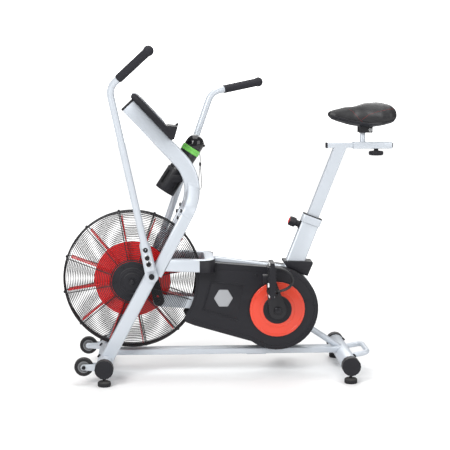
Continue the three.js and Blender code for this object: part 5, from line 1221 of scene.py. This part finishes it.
# ---------------------------------------------------------------------- saddle
# A broad sprung saddle in smooth black vinyl over foam, narrow at its nose and
# full at the back, on a plastic pan and a steel clamp, with two lines of dark
# red stitching along each flank.
SADDLE_FRONT, SADDLE_LENGTH = 0.372, 0.283
saddle_lines = [(0.0, 0.0, 1.020, 1.020), (0.03, 0.020, 1.033, 1.003), (0.10, 0.030, 1.038, 0.993),
                (0.38, 0.046, 1.048, 0.974), (0.58, 0.078, 1.063, 0.967), (0.75, 0.101, 1.067, 0.971),
                (0.88, 0.100, 1.061, 0.980), (0.96, 0.076, 1.045, 0.992), (1.0, 0.0, 1.012, 1.012)]


def saddle_section(share):
    """Half width, top and underside of the saddle at a share of its length."""
    n = next(i for i in range(1, len(saddle_lines)) if saddle_lines[i][0] >= share or i == len(saddle_lines) - 1)
    low, high = saddle_lines[n - 1], saddle_lines[n]
    t = min(max((share - low[0]) / (high[0] - low[0]), 0.0), 1.0)
    if n == 1:
        t = math.sqrt(t)
    elif n == len(saddle_lines) - 1:
        t = 1 - math.sqrt(1 - t)
    else:
        t = t * t * (3 - 2 * t) * 0.35 + t * 0.65
    return [low[k] + (high[k] - low[k]) * t for k in (1, 2, 3)]


def lofted(shape, shares, ring_of):
    """Closes a skin over rings of points, one ring for each share."""
    skin(shape, [[shape.verts.new(p) for p in ring_of(share)] for share in shares])


def saddle_ring(share, inset=0.0045):
    half, top, under = saddle_section(share)
    half, top, under = max(half - inset, 0.002), top - inset * 0.6, under + inset * 0.6
    top = max(top, under + 0.002)
    middle = under + (top - under) * 0.35
    ring = []
    for i in range(40):
        turn = 2 * math.pi * i / 40
        c, s = math.cos(turn), math.sin(turn)
        lift = (top - middle) if s > 0 else (middle - under)
        dip = 0.0035 * math.exp(-(c / 0.16) ** 2) * (1 if s > 0 and 0.30 < share < 0.95 else 0)
        z = middle + lift * math.copysign(abs(s) ** 0.9, s) - dip
        x = SADDLE_FRONT + 0.004 + share * (SADDLE_LENGTH - 0.008)
        ring.append((x, half * math.copysign(abs(c) ** 0.85, c), z))
    return ring


saddle_shape = bmesh.new()
lofted(saddle_shape, [0.004] + [n / 30 for n in range(1, 30)] + [0.996], saddle_ring)
bmesh.ops.recalc_face_normals(saddle_shape, faces=saddle_shape.faces)
cover_mesh = bpy.data.meshes.new("saddle_cover_start")
saddle_shape.to_mesh(cover_mesh)
saddle_shape.free()
cover = bpy.data.objects.new("saddle_cover_start", cover_mesh)
bpy.context.scene.collection.objects.link(cover)
voxels = cover.modifiers.new("voxels", "REMESH")
voxels.mode = "VOXEL"
voxels.voxel_size = 0.005
graph = bpy.context.evaluated_depsgraph_get()
cover.data = bpy.data.meshes.new_from_object(cover.evaluated_get(graph), depsgraph=graph)
cover.modifiers.clear()
at_rest = [vertex.co.copy() for vertex in cover.data.vertices]
swell = cover.modifiers.new("swell", "CLOTH")
swell.settings.use_pressure = True
swell.settings.uniform_pressure_force = 4.0
swell.settings.effector_weights.gravity = 0.0
swell.settings.quality = 5
for step in range(1, 21):
    bpy.context.scene.frame_set(step)
graph = bpy.context.evaluated_depsgraph_get()
swollen = bpy.data.meshes.new_from_object(cover.evaluated_get(graph), depsgraph=graph)
cover.modifiers.clear()
cover.data = swollen
bpy.context.scene.frame_set(1)
for vertex, rest in zip(cover.data.vertices, at_rest):
    move = vertex.co - rest
    if move.length > 0.0045:
        vertex.co = rest + move * (0.0045 / move.length)
saddle_skin = bmesh.new()
saddle_skin.from_mesh(cover.data)
bpy.data.objects.remove(cover)
for _ in range(2):
    bmesh.ops.smooth_vert(saddle_skin, verts=saddle_skin.verts, factor=0.5, use_axis_x=True, use_axis_y=True,
                          use_axis_z=True)
vinyl = coated("saddle_vinyl", (0.0150, 0.0150, 0.0170), 0.44, 0.00016, shine=0.42, Drift=0.18, Drift_Scale=11.0,
               Grain_Scale=620.0, Roughness_Spread=0.14, Dust=0.05)
cover = new_piece("saddle_cover", saddle_skin, vinyl, "saddle_body", crease=180)
subdivided = cover.modifiers.new("subdivided", "SUBSURF")
subdivided.levels = subdivided.render_levels = 1
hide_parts("saddle")


def pan_ring(share):
    half, top, under = saddle_section(share)
    half = max(half * 0.86, 0.003)
    ring = []
    for i in range(32):
        turn = 2 * math.pi * i / 32
        c, s = math.cos(turn), math.sin(turn)
        lift = 0.012 if s > 0 else 0.0025
        ring.append((SADDLE_FRONT + share * SADDLE_LENGTH, half * math.copysign(abs(c) ** 0.6, c),
                     under + 0.0045 + lift * math.copysign(abs(s) ** 0.6, s) + 0.010 * c * c))
    return ring


pan = bmesh.new()
lofted(pan, [0.08 + 0.04 * n for n in range(22)], pan_ring)
new_piece("saddle_pan", pan, moulded_black, "saddle_body")
clamp = bmesh.new()
for side in (-1, 1):
    rounded_slab(clamp, frame_of((0.528, side * 0.0208, 0.946), (0, 0, 1), (1, 0, 0)), 0.054, 0.0104, 0.040, 0.0030,
                 0.0015)
rounded_slab(clamp, frame_of((0.5450, 0, 0.947), (0, 0, 1), (1, 0, 0)), 0.0190, 0.036, 0.040, 0.0030, 0.0015)
rounded_slab(clamp, frame_of((0.5200, 0, 0.9668), (0, 0, 1), (1, 0, 0)), 0.0340, 0.036, 0.020, 0.0030, 0.0015)
new_piece("saddle_clamp", clamp, drive_black, "saddle_body")
bolts("saddle_clamp_bolts", "saddle_body", [((0.545, side * 0.0260, 0.958), (0, side, 0)) for side in (-1, 1)],
      radius=0.0080, height=0.0050, finish=bright_zinc, slot="zinc_steel", sides=6, Socket_Share=0.3)


def stitch_tree():
    """Sews stitches of a length and a gap along lines that lie on a cover."""
    tree = bpy.data.node_groups.new("stitches", "GeometryNodeTree")
    group_socket(tree, "Geometry", "INPUT", "NodeSocketGeometry")
    group_socket(tree, "Stitch Length", "INPUT", "NodeSocketFloat", 0.0036)
    group_socket(tree, "Stitch Gap", "INPUT", "NodeSocketFloat", 0.0014)
    group_socket(tree, "Thread Radius", "INPUT", "NodeSocketFloat", 0.0006)
    group_socket(tree, "Finish", "INPUT", "NodeSocketMaterial")
    group_socket(tree, "Geometry", "OUTPUT", "NodeSocketGeometry")
    link = tree.links.new
    given = add_node(tree, "NodeGroupInput", (-1200, 0))
    result = add_node(tree, "NodeGroupOutput", (1100, 0))
    line = add_node(tree, "GeometryNodeMeshToCurve", (-950, 100), feed={"Mesh": given.outputs["Geometry"]})
    pitch = add_node(tree, "ShaderNodeMath", (-950, -150), operation="ADD", feed={
        0: given.outputs["Stitch Length"], 1: given.outputs["Stitch Gap"]})
    spaced = add_node(tree, "GeometryNodeCurveToPoints", (-650, 100), mode="LENGTH", feed={
        "Curve": line.outputs["Curve"], "Length": pitch.outputs[0]})
    thread = add_node(tree, "GeometryNodeMeshIcoSphere", (-650, -250), feed={"Subdivisions": 2, "Radius": 1.0})
    half = add_node(tree, "ShaderNodeMath", (-650, -450), operation="MULTIPLY", feed={
        0: given.outputs["Stitch Length"], 1: 0.5})
    size = add_node(tree, "ShaderNodeCombineXYZ", (-400, -400), feed={
        "X": given.outputs["Thread Radius"], "Y": given.outputs["Thread Radius"], "Z": half.outputs[0]})
    turn = add_node(tree, "FunctionNodeAlignRotationToVector", (-400, -100), axis="Z", feed={
        "Vector": spaced.outputs["Tangent"]})
    sewn = add_node(tree, "GeometryNodeInstanceOnPoints", (-100, 100), feed={
        "Points": spaced.outputs["Points"], "Instance": thread.outputs["Mesh"],
        "Rotation": turn.outputs["Rotation"], "Scale": size.outputs["Vector"]})
    real = add_node(tree, "GeometryNodeRealizeInstances", (300, 100), feed={"Geometry": sewn.outputs["Instances"]})
    finish = add_node(tree, "GeometryNodeSetMaterial", (700, 100), feed={
        "Geometry": real.outputs["Geometry"], "Material": given.outputs["Finish"]})
    link(finish.outputs["Geometry"], result.inputs["Geometry"])
    return tree


red_thread = coated("red_thread", (0.30, 0.020, 0.022), 0.62, 0.00008, Drift=0.25, Drift_Scale=120.0,
                    Grain_Scale=2600.0, Grain_Stretch=0.3)
stitches = stitch_tree()
bpy.context.view_layer.update()
graph = bpy.context.evaluated_depsgraph_get()
finished_cover = cover.evaluated_get(graph)
seams = (((0.463, 1.036), (0.472, 1.031), (0.484, 1.018), (0.497, 1.001), (0.510, 0.990)),
         ((0.510, 1.000), (0.530, 1.017), (0.554, 1.027), (0.580, 1.034), (0.606, 1.039), (0.629, 1.041)))
for side, label in ((-1, "left"), (1, "right")):
    points, edges = [], []
    for seam in seams:
        begun = len(points)
        for (x0, z0), (x1, z1) in zip(seam, seam[1:]):
            for k in range(10):
                x, z = x0 + (x1 - x0) * k / 10, z0 + (z1 - z0) * k / 10
                hit, place, facing, _ = finished_cover.ray_cast(Vector((x, side * 0.2, z)), Vector((0, -side, 0)))
                if hit:
                    points.append(place + facing * 0.0003)
                    if len(points) - 1 > begun:
                        edges.append((len(points) - 2, len(points) - 1))
    grown(f"saddle_stitches_{label}", stitches, points, "saddle_body", "saddle_leather", crease=180, edges=edges,
          Finish=red_thread)


# --------------------------------------------------------------- drinks bottle
# A black drinks bottle in an open moulded cage on the mast's right: a bright
# green collar, a domed glossy lid with a lug, and a thin beaded wrist strap.
bottle_foot = Vector((-0.253, 0.075, 0.718))
bottle_up = Vector((math.sin(math.radians(33)), 0, math.cos(math.radians(33))))
bottle_rear = Vector((bottle_up.z, 0, -bottle_up.x))
bottle_axis = frame_of(bottle_foot, bottle_up, (0, 1, 0))
bottle_black = coated("bottle_black", (0.014, 0.014, 0.016), 0.34, 0.00003, Drift=0.15, Drift_Scale=18.0,
                      Grain_Scale=900.0, Roughness_Spread=0.12)
bottle_green = coated("bottle_green", (0.200, 0.640, 0.110), 0.36, 0.00003, Drift=0.08, Drift_Scale=30.0,
                      Grain_Scale=1200.0, Roughness_Spread=0.08)
lid_black = coated("lid_gloss", (0.010, 0.010, 0.012), 0.12, 0.00001, Drift=0.1, Drift_Scale=25.0,
                   Grain_Scale=700.0, Roughness_Spread=0.05)
strap_cord = coated("strap_cord", (0.020, 0.020, 0.022), 0.70, 0.00020, Drift=0.2, Drift_Scale=90.0,
                    Grain_Scale=1500.0, Grain_Stretch=0.3)
soften(["bottle_cage"], moulded_black, edge=0.0012)
FLASK_RADIUS = 0.0368
flask = bmesh.new()
turned(flask, bottle_axis, [
    (0.0, 0.0025), (0.0270, 0.0025), (0.0290, 0.0), (0.0335, 0.0012), (0.0362, 0.0040), (FLASK_RADIUS, 0.0080),
    (FLASK_RADIUS, 0.1020), (0.0358, 0.1050), (0.0354, 0.1120), (0.0358, 0.1190), (FLASK_RADIUS, 0.1220),
    (FLASK_RADIUS, 0.1740), (0.0350, 0.1772), (0.0, 0.1775)], 56)
flask_piece = new_piece("bottle_flask", flask, bottle_black, "bottle_body")
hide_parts("bottle")
ring = bmesh.new()
turned(ring, bottle_axis, [(0.0, 0.1770), (0.0370, 0.1770), (0.0379, 0.1782), (0.0379, 0.1860), (0.0372, 0.1870),
                           (0.0379, 0.1880), (0.0379, 0.1982), (FLASK_RADIUS, 0.1994), (0.0, 0.1994)], 56)
new_piece("bottle_collar", ring, bottle_green, "bottle_body")
lid = bmesh.new()
turned(lid, bottle_axis, [(0.0, 0.2004), (0.0354, 0.2004), (0.0360, 0.2016), (0.0361, 0.2130), (0.0354, 0.2215),
                          (0.0334, 0.2300), (0.0298, 0.2378), (0.0240, 0.2444), (0.0165, 0.2490), (0.0085, 0.2514),
                          (0.0, 0.2520)], 56)
rounded_slab(lid, frame_of(bottle_foot + bottle_up * 0.2290 + bottle_rear * 0.0315, bottle_rear, (0, 1, 0)),
             0.0120, 0.0100, 0.0075, 0.0030, 0.0015)
lid_piece = new_piece("bottle_cap", lid, lid_black, "bottle_lid_body")
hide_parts("bottle_lid")


def tube_along(shape, points, radius, sides=10, closed=False):
    """Adds a round cord through points that lie in one upright plane."""
    rings = []
    count = len(points)
    for i, at in enumerate(points):
        before = points[i - 1] if closed or i else points[0]
        after = points[(i + 1) % count] if closed or i < count - 1 else points[-1]
        frame = frame_of(at, after - before, (0, 1, 0))
        rings.append([shape.verts.new(frame @ Vector((radius * math.cos(2 * math.pi * k / sides),
                                                      radius * math.sin(2 * math.pi * k / sides), 0)))
                      for k in range(sides)])
    skin(shape, rings, joined=closed)


strap = bmesh.new()
anchor = bottle_foot + bottle_up * 0.1930 + bottle_rear * 0.0385
hang = Vector((anchor.x + 0.0015, anchor.y, anchor.z - 0.034))
tube_along(strap, [anchor.lerp(hang, t / 6) + Vector((0.0012 * math.sin(math.pi * t / 6), 0, 0)) for t in range(7)],
           0.0012)
loop = []
for n in range(40):
    turn = 2 * math.pi * n / 40
    wide = 0.0085 * math.sin(turn) * (0.55 - 0.45 * math.cos(turn))
    loop.append(Vector((hang.x + wide, hang.y, hang.z - 0.0560 + 0.0500 * math.cos(turn))))
tube_along(strap, loop, 0.0011, closed=True)
new_piece("bottle_strap", strap, strap_cord, "bottle_body")
bead_piece = bmesh.new()
turned(bead_piece, frame_of(hang + Vector((0, 0, 0.001)), (0, 0, -1), (1, 0, 0)),
       [(0.0, -0.0010), (0.0026, -0.0004), (0.0040, 0.0030), (0.0044, 0.0080), (0.0038, 0.0130), (0.0024, 0.0156),
        (0.0, 0.0160)], 24)
new_piece("bottle_strap_bead", bead_piece, moulded_black, "bottle_body")
